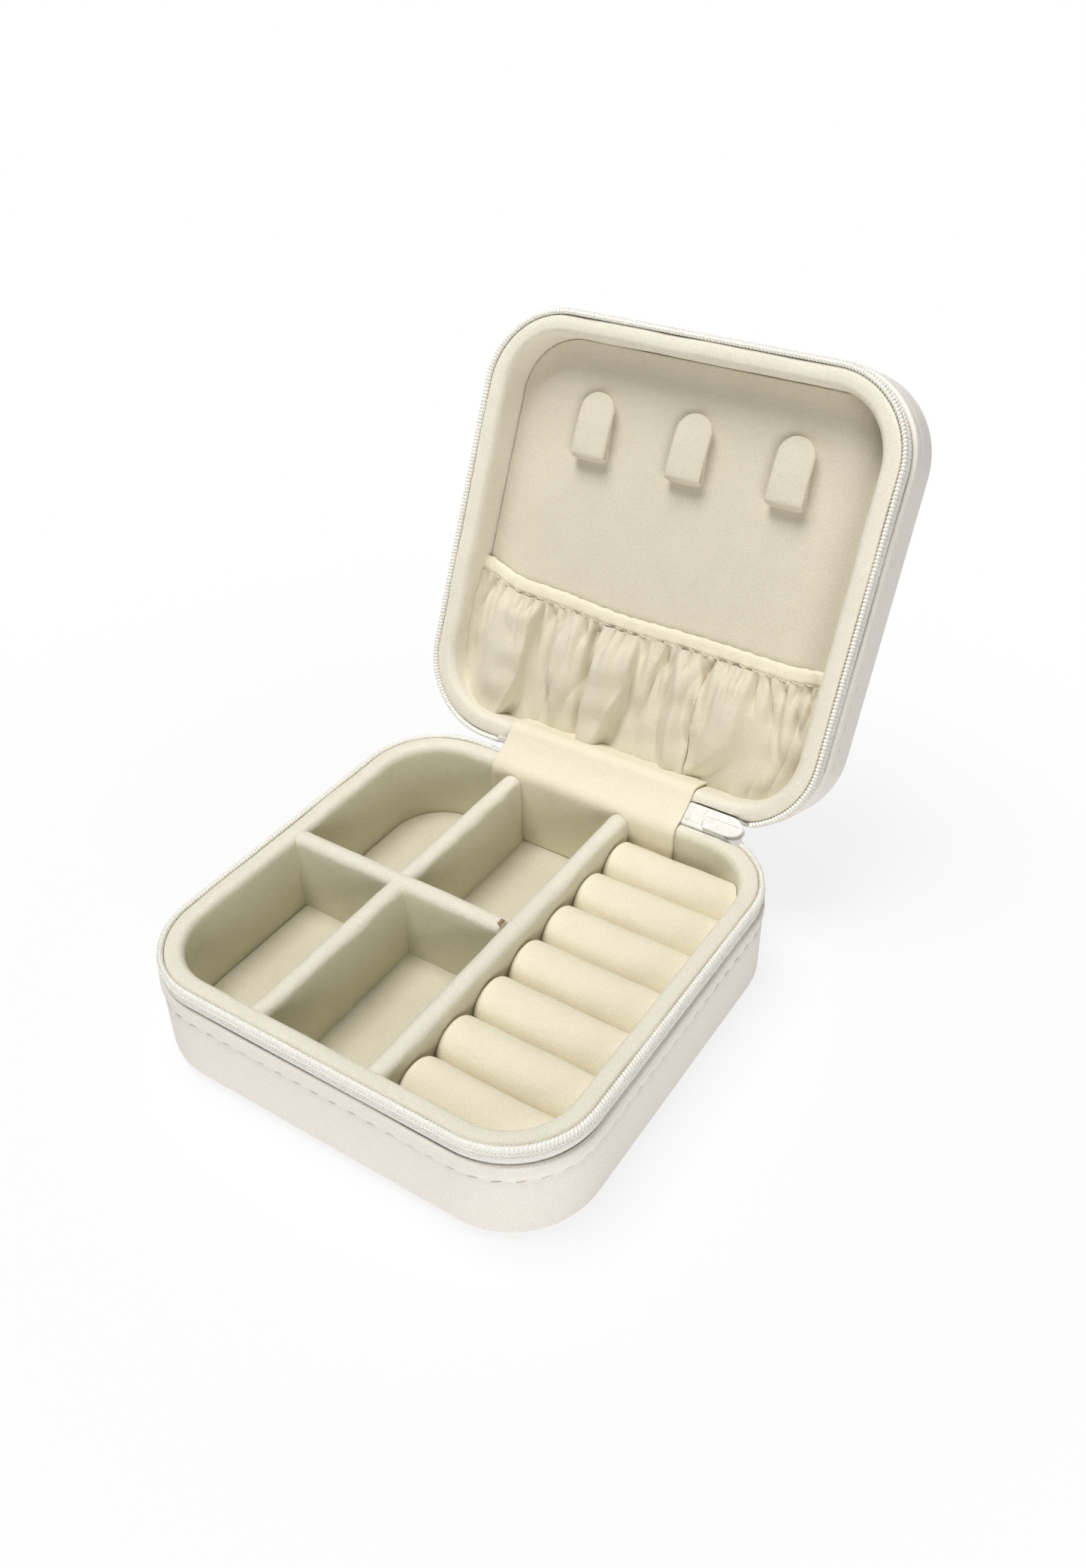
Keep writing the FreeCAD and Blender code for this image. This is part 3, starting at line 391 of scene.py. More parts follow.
TAPE_END, TAPE_FOOT, TAPE_INSET, TAPE_THICKNESS = 24.3, 3.8, 1.02, 0.5
# Each beside the slider and away from it
TAPE_TOP, TAPE_SWELL = (3.6, 1.45), (0.42, 0.75)
SLIDER_FROM, SLIDER_TO = 24.7, 38.1
YARN = 0.00056


def woven_finish():
    """Plain weave of warp and weft: two sets of ridges at right angles that go over and under in turn."""
    material, tree, shader = finish("woven_tape", 0.8, Sheen_weight=0.1)
    spot = node(tree, "SeparateXYZ", ("Vector", node(tree, "TexCoord")["UV"]))
    waves = []
    for axis in "XY":
        angle = node(tree, "Math", (0, spot[axis]), (1, 2 * math.pi / YARN), operation="MULTIPLY")["Value"]
        waves.append(node(tree, "Math", (0, angle), operation="SINE")["Value"])
    cross = node(tree, "Math", (0, waves[0]), (1, waves[1]), operation="MULTIPLY")["Value"]
    level = node(tree, "MapRange", ("Value", cross), From_min=-1.0)["Result"]
    tint(shader, level, (0.0, (0.92, 0.895, 0.835)), (0.4, (0.985, 0.965, 0.915)))
    bump(shader, level, 0.00012, 0.8)
    return material


tape_weave = woven_finish()


def smooth(value, low, high):
    """Soft step from 0 at low to 1 at high."""
    share = np.clip((value - low) / (high - low), 0, 1)
    return share * share * (3 - 2 * share)


for half in ("base", "lid"):
    run = np.linspace(TAPE_END, ROUND_TRIP - TAPE_END, 260)
    past_slider = smooth(run, SLIDER_TO, SLIDER_TO + 4.0)[:, None]
    low = EDGE_DEPTH[half] + TAPE_FOOT
    top, full = (near + (away - near) * past_slider for near, away in (TAPE_TOP, TAPE_SWELL))
    share = np.r_[np.linspace(0, 1, 16), np.linspace(1, 0, 16)]
    depth = low + (top - low) * share
    inset = TAPE_INSET + TAPE_THICKNESS * np.repeat([0.0, 1.0], 16) - full * smooth(-depth, -4.9, -3.8)
    band = carry(run, inset + (full - 0.12) * smooth(-depth, -3.0, -2.1), depth)
    tape = build(f"{half}_woven_tape", [hoop(place(half, band))], tape_weave)
    fit(tape, half, "zip_tape", f"{half}_zip_tape")

# Zip coils: a nylon strand wound in flat loops round a filler cord and sewn on the tape's outer face. The
# loops' heads stand free above the tape, and the coil starts at the slider and ends at a metal stop.

COIL_PITCH, STRAND, FILLER, FILLER_HALF = 0.80, 0.24, 0.50, 0.98
COIL_INSET, COIL_DEPTH, COIL_HALF, COIL_REACH = 0.86, 1.28, 0.42, 0.94
COIL_START, COIL_END = 38.8, ROUND_TRIP - 26.95
SEWING_DEPTHS, SEWING_INSET, SEWING_THREAD = (1.72, 2.08, 2.44), 0.26, 0.19

nylon = cloudy_finish("nylon_coil", 0.32, 700.0, 2.0, 0.5, (0.97, 0.94, 0.875), (0.91, 0.875, 0.80), 0.2,
                      (0.00004, 0.4), Subsurface_weight=0.25, Subsurface_scale=0.0004)
coil_thread = thread_finish("coil_thread", (0.97, 0.94, 0.875), (0.90, 0.865, 0.79))


def closed(grid):
    """Grid of rings with the middles of its first and last rings added as tips, so that it closes there."""
    tips = grid[[0, -1]].mean(axis=1, keepdims=True).repeat(grid.shape[1], axis=1)
    return np.r_[tips[:1], grid, tips[1:]]


def tube(line, away, radius, sides):
    """Round strand along a line of points, closed at both ends: rings square to the line that face away."""
    forward = unit(np.gradient(line, axis=0))
    first = unit(away - forward * (away * forward).sum(axis=-1, keepdims=True))[:, None]
    second = np.cross(forward, first[:, 0])[:, None]
    angle = circle(sides)[:, None]
    return closed(line[:, None] + radius * (np.cos(angle) * first + np.sin(angle) * second))


for half in ("base", "lid"):
    turn = np.arange(0, 2 * math.pi * (COIL_END - COIL_START) / COIL_PITCH, 2 * math.pi / 11)
    run = COIL_START + COIL_PITCH * turn / (2 * math.pi)
    rise = COIL_REACH * np.sin(turn) * (1 + 0.10 * np.cos(turn) ** 2)
    wound = trail(half, run, COIL_INSET + COIL_HALF * np.cos(turn), COIL_DEPTH - rise)
    middle = trail(half, run, COIL_INSET, COIL_DEPTH)
    coil = build(f"{half}_nylon_coil", [hoop(tube(wound, wound - middle, STRAND, 6))], nylon)
    fit(coil, half, "zip_coil", f"{half}_zip_coil")
    angle = circle(12)
    cord = carry(np.linspace(run[0], run[-1], 300), COIL_INSET + FILLER * np.cos(angle),
                 COIL_DEPTH + FILLER_HALF * np.sin(angle))
    strands = [hoop(place(half, closed(cord)))]
    for level in SEWING_DEPTHS:
        sewn = trail(half, run, SEWING_INSET + 0.09 * np.cos(turn + level), level + 0.06 * np.sin(turn))
        strands.append(hoop(tube(sewn, sewn - middle, SEWING_THREAD, 4)))
    fit(build(f"{half}_coil_stitching", strands, coil_thread), half, "zip_tape")

# Metal stops: small clips pressed on the ends of the two coils, lacquered like the slider. Their solids have
# the right shape.

lacquer = cloudy_finish("pale_lacquer", 0.42, 900.0, 3.0, 0.5, (0.84, 0.805, 0.765), (0.74, 0.70, 0.66), 0.2,
                        (0.00003, 0.3), Specular_IOR_level=0.5)
coat(lacquer, "base_top_stop", "lid_top_stop")

# Wall linings: card rings covered with cream velvet, one in each half. The rim is padded and rounds over more
# on the inside than on the outside, and it is pressed back where the zip slider comes past the hinge.

WALL_OUTER, WALL_INNER = 2.8, 5.6
WALL_FOOT = {"base": 22.1, "lid": 11.85}
SLIDER_SWEEP = 3.3
VELVET = (0.930, 0.885, 0.755), (0.760, 0.710, 0.585)
# Darker, more olive tint for upright faces of the base's velvet: painted shade.
LEVEL, UPRIGHT_PAINTED_SHADE = (1.0, 1.0, 1.0), (0.90, 0.92, 0.845)


def velvet_finish(name, light, dark, upright=LEVEL):
    """Short pile: fine fibre grain, soft patches where the nap lies over, and a pale sheen at its edges. Faces
    that stand upright can be darkened and made more olive by a tint: painted shade."""
    material, tree, shader = finish(name, 0.95, Sheen_weight=0.4, Sheen_roughness=0.45,
                                    Sheen_tint=(1.0, 0.97, 0.90, 1.0), Specular_IOR_level=0.15)
    coordinates = node(tree, "TexCoord")
    fibre = noise(tree, coordinates["Object"], 4200.0, 2.0, Roughness=0.6)
    patch = noise(tree, coordinates["Object"], 150.0, 2.0, Roughness=0.5)
    blend = node(tree, "Mix", ("A", fibre), ("B", patch), Factor=0.14)["Result"]
    ramp = tint(shader, blend, (0.30, dark), (0.64, light))
    facing = node(tree, "SeparateXYZ", ("Vector", coordinates["Normal"]))["Z"]
    lying = node(tree, "MapRange", ("Value", facing), interpolation_type="SMOOTHSTEP")["Result"]
    # Upright faces take the darker tint: painted shade.
    painted_shade = node(tree, "MixRGB", ("Fac", lying), Color1=(*upright, 1.0), Color2=(*LEVEL, 1.0))["Color"]
    shaded_colour = node(tree, "MixRGB", ("Color1", ramp), ("Color2", painted_shade), blend_type="MULTIPLY", Fac=1.0)["Color"]
    tree.links.new(shaded_colour, shader.inputs["Base Color"])
    soft = bump(shader, patch, 0.0004, 0.10)
    bump(shader, fibre, 0.00022, 0.6, soft)
    return material


velvet = velvet_finish("cream_velvet", *VELVET)
# This copy of the cream velvet darkens its upright faces: painted shade.
wall_velvet_shaded = velvet_finish("wall_velvet_shaded", *VELVET, UPRIGHT_PAINTED_SHADE)
# Darker copy of the cream velvet for the lid panel and the hooks: painted shade.
shaded_panel_velvet = velvet_finish("shaded_panel_velvet", (0.793, 0.740, 0.602), (0.659, 0.606, 0.478))
pile = velvet_finish("pale_velvet", (0.955, 0.890, 0.705), (0.820, 0.750, 0.570))
# Darker copy of the pale velvet for the pocket: painted shade for its folds.
shaded_pocket_velvet = velvet_finish("shaded_pocket_velvet", (0.812, 0.759, 0.600), (0.685, 0.630, 0.478))
# Darker copy of the pale velvet for the floor pad: painted shade of the cells.
shaded_floor_pile = velvet_finish("shaded_floor_velvet", (0.740, 0.697, 0.545), (0.622, 0.578, 0.443))


def clear_of_slider(points):
    """Points nearer the hinge line than the slider's sweep, where it runs, pushed straight off that line."""
    x, y, depth = np.moveaxis(points, -1, 0)
    back = y - HALF_Y
    reach = np.hypot(back, depth)
    there = smooth(x, SLIDER_FROM - 2.2, SLIDER_FROM - 0.2) * smooth(-x, -SLIDER_TO - 2.2, -SLIDER_TO - 0.2)
    grow = 1 + there * np.maximum(SLIDER_SWEEP - reach, 0) / reach
    return joined(x, HALF_Y + back * grow, depth * grow)


for half in ("base", "lid"):
    run = np.linspace(0, ROUND_TRIP, 260, endpoint=False)
    foot = WALL_FOOT[half]
    outside, inside = np.linspace(math.pi, math.pi / 2, 7), np.linspace(math.pi / 2, 0, 12)
    inset = np.r_[np.linspace(WALL_OUTER, 1.55, 5), 2.35 + 0.8 * np.cos(outside), 3.0, 3.6,
                  4.0 + 1.6 * np.cos(inside), np.full(9, WALL_INNER)]
    depth = np.r_[np.linspace(foot, 2.0, 5), 1.3 - 0.7 * np.sin(outside), 0.52, 0.52,
                  2.7 - 2.1 * np.sin(inside), np.linspace(3.6, foot, 9)]
    soft = swell(carry(run, inset, depth), 16.0, 11) * np.clip((foot - depth) / 3.0, 0, 1)
    wall = clear_of_slider(carry(run, inset + 0.10 * soft, depth + 0.08 * soft * (depth < 4.0)))
    # In the base, the lining's upright faces carry painted shade.
    lining = build(f"{half}_velvet_wall", [(place(half, wall)[None], True, True)],
                   wall_velvet_shaded if half == "base" else velvet)
    fit(lining, half, "velvet", f"{half}_lining")

# Floor pad: a card covered with velvet over thin foam, dropped in between the walls. Its edge rolls down to
# the card, and its face is a little full.

FLOOR_DEPTH, PAD_THICKNESS, PAD_INSET, PAD_ROUND = 20.0, 2.15, 5.68, 0.45


def pad_grid(half, face, thickness, seed, fullness):
    """Pad with the box's outline: underside, rolled edge and crowned, slightly uneven face, closed at its
    middle. Depths are from the parting plane, and the face looks towards it."""
    run = np.linspace(0, ROUND_TRIP, 200, endpoint=False)
    edge = np.linspace(0, math.pi / 2, 6)
    inset = np.r_[17.0, 12.0, PAD_INSET + 0.3, PAD_INSET + PAD_ROUND * (1 - np.cos(edge)),
                  7.0, 8.0, 9.5, 11.0, 13.0, 15.0, 17.0]
    drop = np.r_[np.full(3, thickness), PAD_ROUND * (1 - np.sin(edge)), np.zeros(7)]
    rows = carry(run, inset, face + drop)
    under, over = (cap(rows[:, end], np.linspace(1, 0, 15)) for end in (0, -1))
    for grid in (rows, over):
        raised = np.clip((face + 0.5 - grid[..., 2]) / 0.5, 0, 1)
        grid[..., 2] -= raised * fullness * (0.6 + 0.4 * swell(grid, 22.0, seed))
    return [(place(half, rows)[None], True, False), hoop(place(half, under)), hoop(place(half, over))]


# The floor pad's velvet is darkened: painted shade.
floor_pad = build("velvet_floor", pad_grid("base", FLOOR_DEPTH, PAD_THICKNESS, 21, 0.12), shaded_floor_pile)
fit(floor_pad, "base", "velvet", "floor_pad")

# Dividers: card strips covered with velvet, standing on the floor. The cross divider is half-lapped over the
# left-hand one, and at its right end the velvet leaves a corner of raw card to see.

DIVIDER_HALF, DIVIDER_DEPTH, COLUMN_DEPTH, CREST = 2.2, 0.7, 1.05, 2.0
MAIN_X, COLUMN_X, CROSS_Y = 11.0, -17.3, 0.0
FRONT_TO_BACK, LEFT_TO_MAIN = (-45.0, 42.75), (-45.5, 8.65)
LAP_DEPTH, LAP_HALF = 10.35, 0.7


def strip(along, top, low, seed):
    """Upright strip: at each place along it a ring up one side, over the round top and down the other,
    between its depths top and low. It ends in flat faces with softened edges."""
    bend, rise = np.linspace(math.pi, 0, 13)[1:-1], np.linspace(0, 1, 8)
    across = DIVIDER_HALF * np.r_[np.full(8, -1.0), np.cos(bend), np.ones(8)]
    crest = CREST * np.r_[np.ones(8), 1 - np.sin(bend), np.ones(8)]
    side = np.r_[1 - rise, 0 * bend, rise]
    from_end = np.minimum(along - along[0], along[-1] - along)[:, None]
    top = top[:, None] + 0.7 * np.exp(-from_end / 0.45)
    depth = top + crest + side * (low[:, None] - top - CREST)
    grid = joined(along[:, None], across * (1 - 0.16 * np.exp(-from_end / 0.25)), depth)
    soft = 0.10 * swell(grid, 11.0, seed) + 0.05 * swell(grid, 3.5, seed + 50)
    grid[..., 1] += soft * (np.abs(across) > 0.9 * DIVIDER_HALF)
    grid[..., 2] += soft * (side == 0)
    return closed(grid)


def places(low, high, *breaks):
    """Places along a strip, close together at its ends and doubled at each break."""
    near_end = np.array([0, 0.1, 0.3, 0.7])
    between = np.linspace(1.2, high - low - 1.2, 60)
    return np.sort(np.r_[low + near_end, low + between, high - near_end, [spot - 0.01 for spot in breaks],
                         [spot + 0.01 for spot in breaks]])


for name, ends, top_depth, lap, middle, seed in (
        ("main_divider", FRONT_TO_BACK, DIVIDER_DEPTH, None, (MAIN_X, 0), 31),
        ("column_divider", FRONT_TO_BACK, COLUMN_DEPTH, CROSS_Y, (COLUMN_X, 0), 32),
        ("cross_divider", LEFT_TO_MAIN, DIVIDER_DEPTH, COLUMN_X, (0, CROSS_Y), 33)):
    across_box = name == "cross_divider"
    along = places(*ends, *([] if lap is None else [lap - LAP_HALF, lap + LAP_HALF]))
    top, low = np.full(len(along), top_depth), np.full(len(along), FLOOR_DEPTH)
    if lap is not None:
        (low if across_box else top)[np.abs(along - lap) < LAP_HALF] = LAP_DEPTH
    grid = strip(along, top, low, seed)[..., [0, 1, 2] if across_box else [1, 0, 2]] + [*middle, 0]
    # The dividers' upright sides carry painted shade.
    piece = build(f"velvet_{name}", [hoop(place("base", grid))], wall_velvet_shaded)
    fit(piece, "base", "velvet", name)


def oblong(angle, power_across, power_up):
    """Rounded oblong of half size 1: cosine and sine with their sizes raised to a power and signs kept."""
    return tuple(np.sign(wave) * np.abs(wave) ** power
                 for wave, power in ((np.cos(angle), power_across), (np.sin(angle), power_up)))


angle = circle(20)
wide, tall = oblong(angle, 0.4, 0.5)
card = joined(LEFT_TO_MAIN[1] - np.array([0.8, 0.75, 0.2, 0.1])[:, None], CROSS_Y + 0.9 * wide,
              1.75 - tall - 0.10 * np.sin(7 * angle))
card_tip = build("raw_card_corner", [hoop(place("base", closed(card)))], greyboard)
fit(card_tip, "base", "greyboard")

# Ring bed and rolls: seven foam rolls covered with the paler velvet lie side by side on a bed, and rings are
# pushed in between them. Neighbours press each other flat, and the outer two follow the round corners.

ROLL_RADIUS, ROLL_DEPTH, ROLL_LEFT, ROLL_RIGHT, ROLL_ROUND = 6.0, 10.0, 13.2, 44.4, 2.0
ROLL_PLACES = 36.1 - 12.2 * np.arange(7)
BED_DEPTH, BED_LEFT, CAVITY_CORNER = 16.1, 13.35, 13.4


def corner_limit(y, gap):
    """How far right the compartment reaches at a place from front to back, less a gap."""
    into = np.maximum(np.abs(y) - CORE_Y, 0)
    return CORE_X + np.sqrt(np.maximum((CAVITY_CORNER - gap) ** 2 - into ** 2, 0.01))


across = np.r_[np.linspace(-43.6, -32, 24), np.linspace(-30, 30, 12), np.linspace(32, 43.6, 24)]
levels = np.r_[FLOOR_DEPTH - np.array([0, 0.1]), BED_DEPTH + np.array([0.5, 0.12, 0, 0])]
margin = np.array([0.1, 0.0, 0.0, 0.12, 0.5, 2.0])
rim = np.r_[joined(corner_limit(across, 0.25), across), joined(BED_LEFT, across[::-1])]
middle = np.array([28.0, 0.0])
rows = middle + (rim - middle) * (1 - margin[:, None, None] / 20.0)
bed = closed(joined(rows[..., 0], rows[..., 1], levels[:, None]))
ring_bed = build("velvet_ring_bed", [hoop(place("base", bed))], pile)
fit(ring_bed, "base", "velvet", "ring_bed")

share = np.r_[np.linspace(0, 0.09, 12), np.linspace(0.11, 0.89, 30), np.linspace(0.91, 1, 12)]
near_end = share * (ROLL_RIGHT - ROLL_LEFT)
girth = ROLL_RADIUS - ROLL_ROUND * (1 - dome(1 - np.clip(near_end / ROLL_ROUND, 0, 1)))
girth[[0, -1]] = 0.02
angle = circle(48)
side, up = oblong(angle, 0.92, 1.0)
for number, roll_y in enumerate(ROLL_PLACES, start=1):
    y = roll_y + girth[:, None] * side
    reach = np.minimum(corner_limit(y, 0.0), ROLL_RIGHT)
    roll = joined(ROLL_LEFT + share[:, None] * (reach - ROLL_LEFT), y, ROLL_DEPTH - girth[:, None] * up)
    soft = swell(roll, 13.0, 40 + number) * (np.clip(near_end / 3.0, 0, 1) * (girth > 1.0))[:, None]
    roll[..., 1] += 0.07 * soft * np.cos(angle)
    roll[..., 2] -= 0.12 * soft * up
    piece = build(f"velvet_roll_{number}", [hoop(place("base", roll))], pile)
    fit(piece, "base", "velvet", f"ring_roll_{number}")

# Lid panel: card covered with velvet over thin foam, glued into the lid between its walls. It is the flat
# back that the necklace hooks and the pocket are sewn to.

PANEL_DEPTH, PANEL_THICKNESS = 9.5, 2.35
# The panel's velvet is darkened: painted shade.
panel = build("velvet_panel", pad_grid("lid", PANEL_DEPTH, PANEL_THICKNESS, 51, 0.10), shaded_panel_velvet)
fit(panel, "lid", "velvet", "lid_panel")

# Necklace hooks: three velvet-covered strips, each folded back on itself at its lower end and glued to the
# panel by the short leg. The long leg leans to the panel, and its tip is round.

HOOK_X, HOOK_LEAN = (-23.1, 0.9, 24.9), (0.012, -0.01, 0.008)
HOOK_TIP, HOOK_FOLD, HOOK_HALF, HOOK_STRIP, HOOK_BEND, HOOK_LEG = -83.0, -69.5, 4.25, 1.4, 0.95, 12


def beside(line):
    """Unit normals of a line in a plane, to its left."""
    forward = unit(np.gradient(line, axis=0))
    return joined(-forward[:, 1], forward[:, 0])


def hook_grid(centre, lean):
    """Strip carried along a folded line: short leg, half circle, long leg to the tip. Its section is a
    rounded oblong whose width follows a half circle at the tip."""
    seat = PANEL_DEPTH - 0.1 - HOOK_STRIP / 2
    leg, turn = np.linspace(-10.5, 0.0, HOOK_LEG + 1)[:-1], np.linspace(math.pi / 2, -math.pi / 2, 15)
    far = 1 - (1 - np.linspace(0, 1, 40)[1:]) ** 1.6
    y = HOOK_FOLD + np.r_[leg, HOOK_BEND * np.cos(turn), (HOOK_TIP - HOOK_FOLD) * far]
    z = seat + np.r_[0 * leg, HOOK_BEND * (np.sin(turn) - 1),
                     far * (2 * HOOK_BEND - 0.75) - 2 * HOOK_BEND - 0.35 * np.sin(math.pi * far)]
    normal = beside(joined(y, z))
    to_tip = np.where(np.arange(len(y)) > 30, y - HOOK_TIP, HOOK_HALF)
    rounding = dome(1 - np.clip(to_tip / HOOK_HALF, 0, 1), least=0.0004)
    rounding[:HOOK_LEG] = np.linspace(0.78, 0.97, HOOK_LEG)
    y, z, rounding = y[:, None], z[:, None], rounding[:, None]
    wide, thick = oblong(circle(28), 0.45, 0.62)
    girth = HOOK_STRIP / 2 * np.clip(rounding * 2.2, 0, 1) * thick
    grid = joined(centre + HOOK_HALF * rounding * wide + lean * (y - HOOK_FOLD),
                  y + girth * normal[:, :1], z + girth * normal[:, 1:])
    grid[..., 2] += 0.06 * swell(grid, 5.0, 61)
    return closed(grid)


for number, (centre, lean) in enumerate(zip(HOOK_X, HOOK_LEAN), start=1):
    # The hooks take the darkened panel velvet: painted shade.
    hook = build(f"velvet_hook_{number}", [hoop(swing(hook_grid(centre, lean)))], shaded_panel_velvet)
    fit(hook, "lid", "velvet", f"necklace_hook_{number}")

# Pocket band: the hem of the elastic pocket, velvet doubled over a flat elastic and sewn shut below it. It
# bows up where it is fixed at the left wall, and the gathers pucker it along the seam.

POCKET_HALF, HEM_LOW, HEM_HALF, HEM_Z = 44.7, -32.85, 1.9, 8.1


def hem_rise(x):
    """How far the hem stands above its straight line: it bows up towards both walls, most at the left."""
    left = 1.3 * smooth(-x, 2.0, 26.0) + 3.0 * smooth(-x, 30.0, 45.0) ** 1.5
    return left + 1.0 * smooth(x, 34.0, 45.0) + 0.2 * np.sin(x / 9.0)


x = np.linspace(-POCKET_HALF, POCKET_HALF, 330)[:, None]
angle = circle(36)
level, thick = oblong(angle, 0.75, 0.6)
gathers = 0.5 * np.sin(2.1 * x + 1.7 * np.sin(0.31 * x)) + 0.5 * np.sin(1.23 * x + 2.0 * np.sin(0.17 * x + 1))
lower = smooth(np.cos(angle), -0.4, 1.0)
groove = 0.30 * bell(HEM_HALF * (1 - level) - 0.55, 0.34) * (np.sin(angle) < 0)
band = joined(x, HEM_LOW - HEM_HALF * (1 - level) - hem_rise(x) + 0.14 * gathers * (1 - lower),
              HEM_Z + 0.95 * thick + groove + 0.20 * gathers * lower)
band[..., 2] += 0.10 * swell(band, 3.2, 66)
pocket_band = build("pocket_band", [hoop(swing(closed(band)))], pile)
fit(pocket_band, "lid", "velvet", "pocket_hem", "pocket_elastic")

# Pocket: one piece of soft velvet, gathered along the band above and sewn in along the walls and the foot of
# the panel. Deep folds fan out from the gathers and run out in its full belly.

POCKET_BULGE, POCKET_FOOT, POCKET_CORNER, CLOTH = 2.7, -5.2, 13.8, 0.5
# Each pleat: its left edge at the band, half way down and at the foot, and its right edge there, as shares of
# the band from left to right, then its height, the softness of both edges and how far down it runs
PLEATS = np.array([
    (0.100, 0.070, 0.050, 0.206, 0.190, 0.153, 2.5, 4.5, 0.6, 1.5),
    (0.293, 0.277, 0.306, 0.330, 0.352, 0.372, 1.7, 1.4, 3.4, 1.1),
    (0.396, 0.403, 0.407, 0.495, 0.490, 0.445, 2.6, 0.6, 0.7, 1.5),
    (0.522, 0.512, 0.500, 0.568, 0.552, 0.505, 1.4, 1.6, 0.7, 0.70),
    (0.604, 0.632, 0.640, 0.672, 0.697, 0.700, 2.2, 1.8, 0.5, 1.5),
    (0.712, 0.700, 0.705, 0.800, 0.825, 0.700, 2.2, 0.6, 2.4, 1.5)])
# Each small crease: where it starts at the band and where it points to at the foot, how far down it runs, its
# depth and its half width
CREASES = np.array([
    (0.043, 0.010, 0.40, 0.9, 0.8), (0.088, 0.045, 0.42, 0.9, 0.9), (0.140, 0.120, 0.18, 0.6, 0.7),
    (0.175, 0.160, 0.20, 0.6, 0.7), (0.245, 0.250, 0.22, 0.7, 0.8), (0.268, 0.270, 0.16, 0.6, 0.6),
    (0.345, 0.370, 0.25, 0.8, 0.8), (0.372, 0.450, 0.30, 0.9, 0.7), (0.430, 0.430, 0.20, 0.6, 0.7),
    (0.462, 0.480, 0.24, 0.6, 0.7), (0.585, 0.620, 0.28, 0.9, 0.7), (0.640, 0.660, 0.22, 0.6, 0.7),
    (0.750, 0.740, 0.22, 0.6, 0.7), (0.780, 0.800, 0.18, 0.5, 0.7), (0.820, 0.900, 0.35, 1.1, 0.8),
    (0.857, 0.930, 0.42, 1.0, 0.7), (0.892, 0.952, 0.80, 1.1, 0.8), (0.937, 0.985, 0.62, 1.0, 0.8),
    (0.965, 1.000, 0.45, 0.8, 0.7)])


def through(first, half, last, share):
    """Curve through three values: at the start, half way along and at the end."""
    return (first * (1 - share) * (1 - 2 * share) + 4 * half * share * (1 - share)
            + last * share * (2 * share - 1))


def pocket_grid(columns, rows):
    """Cloth between the hem and the walls. Its height off the panel is a belly that fills out below the hem
    and tucks in at the walls, plus soft-edged pleats with hollows beside their sharp edges, less creases of
    bell section along their lines, plus fine gathers that run out below the seam and broad waves."""
    spot = np.linspace(0, 1, columns)[:, None]
    down = np.linspace(0, 1, rows) ** 1.15
    x = POCKET_HALF * (2 * spot - 1) + 0 * down
    into_corner = np.maximum(np.abs(x) - CORE_X, 0)
    foot = POCKET_FOOT - (POCKET_CORNER - np.sqrt(POCKET_CORNER ** 2 - into_corner ** 2))
    start = HEM_LOW - 0.35 - hem_rise(x)
    y = start + (foot - start) * down
    tuck = np.sqrt(np.clip((1 - down) / 0.012, 0, 1) * np.clip((1 - np.abs(2 * spot - 1)) / 0.006, 0, 1))
    belly = 1.55 + (POCKET_BULGE - 1.55) * smooth(down, 0.0, 0.35) - 0.7 * smooth(down, 0.55, 1.0)

    left, left_half, left_foot, right, right_half, right_foot, height, soft_left, soft_right, reach = (
        item[:, None, None] for item in PLEATS.T)
    wander = 0.006 * np.sin(7 * down + 30 * left)
    from_left = (spot - through(left, left_half, left_foot, down) - wander) * 2 * POCKET_HALF
    from_right = (through(right, right_half, right_foot, down) + wander - spot) * 2 * POCKET_HALF
    fade = (1 - smooth(down, 0.6 * reach, reach)) * (0.35 + 0.65 * smooth(down, 0.0, 0.18))
    raised = smooth(from_left, -soft_left, soft_left) * smooth(from_right, -soft_right, soft_right) * fade
    sharp_left, sharp_right = soft_left < 1, soft_right < 1
    lean = sharp_right * bell(from_right, 1.3) - sharp_left * bell(from_left, 1.3)
    x = x + 0.5 * (raised * lean).sum(axis=0)
    hollow = sharp_right * bell(from_right + 2.2, 2.0) + sharp_left * bell(from_left + 2.0, 1.8)
    folds = (height * (raised - 0.50 * fade * hollow)).sum(axis=0)

    top, low, length, depth, width = (item[:, None, None] for item in CREASES.T)
    aside = (spot - top - (low - top) * down - 0.005 * np.sin(9 * down + 50 * top)) * 2 * POCKET_HALF
    sunk = depth * bell(aside, width * (0.6 + 0.9 * down)) * (1 - smooth(down, 0.4 * length, length))

    phase = 2 * math.pi * (27 * spot + 0.4 * np.sin(33 * spot) + 0.9 * (spot - 0.5) * down)
    gathers = 0.58 * np.sin(phase) * bell(down, 0.22 + 0.20 * np.sin(24 * spot) ** 2)
    gathers = gathers * (0.4 + 0.6 * smooth(down, 0.0, 0.10))
    across = spot + 0.055 * down * (1 - spot)
    bend = math.pi * (12.5 * across + 0.35 * np.sin(21 * across) + 0.25 * np.sin(5 * down + 9 * spot))
    drape = 0.95 * (np.abs(np.sin(bend)) - 0.6) * smooth(down, 0.03, 0.3) * (1 - 0.5 * smooth(down, 0.7, 1.0))
    uneven = 0.35 * swell(joined(x, y, 0.0), 10.0, 71) * smooth(down, 0.0, 0.2) + drape

    off_panel = belly + 1.25 * folds - 1.35 * sunk.sum(axis=0) + gathers + uneven
    off_panel = np.maximum(off_panel, 1.35 * (1 - smooth(down, 0.0, 0.12))) * tuck
    return joined(x, y, PANEL_DEPTH - 0.4 - np.maximum(off_panel, 0.0))


def spans(points, axis=0):
    """Lengths from each point to the next along an axis."""
    return np.linalg.norm(np.diff(points, axis=axis), axis=-1)


cloth = pocket_grid(400, 84)
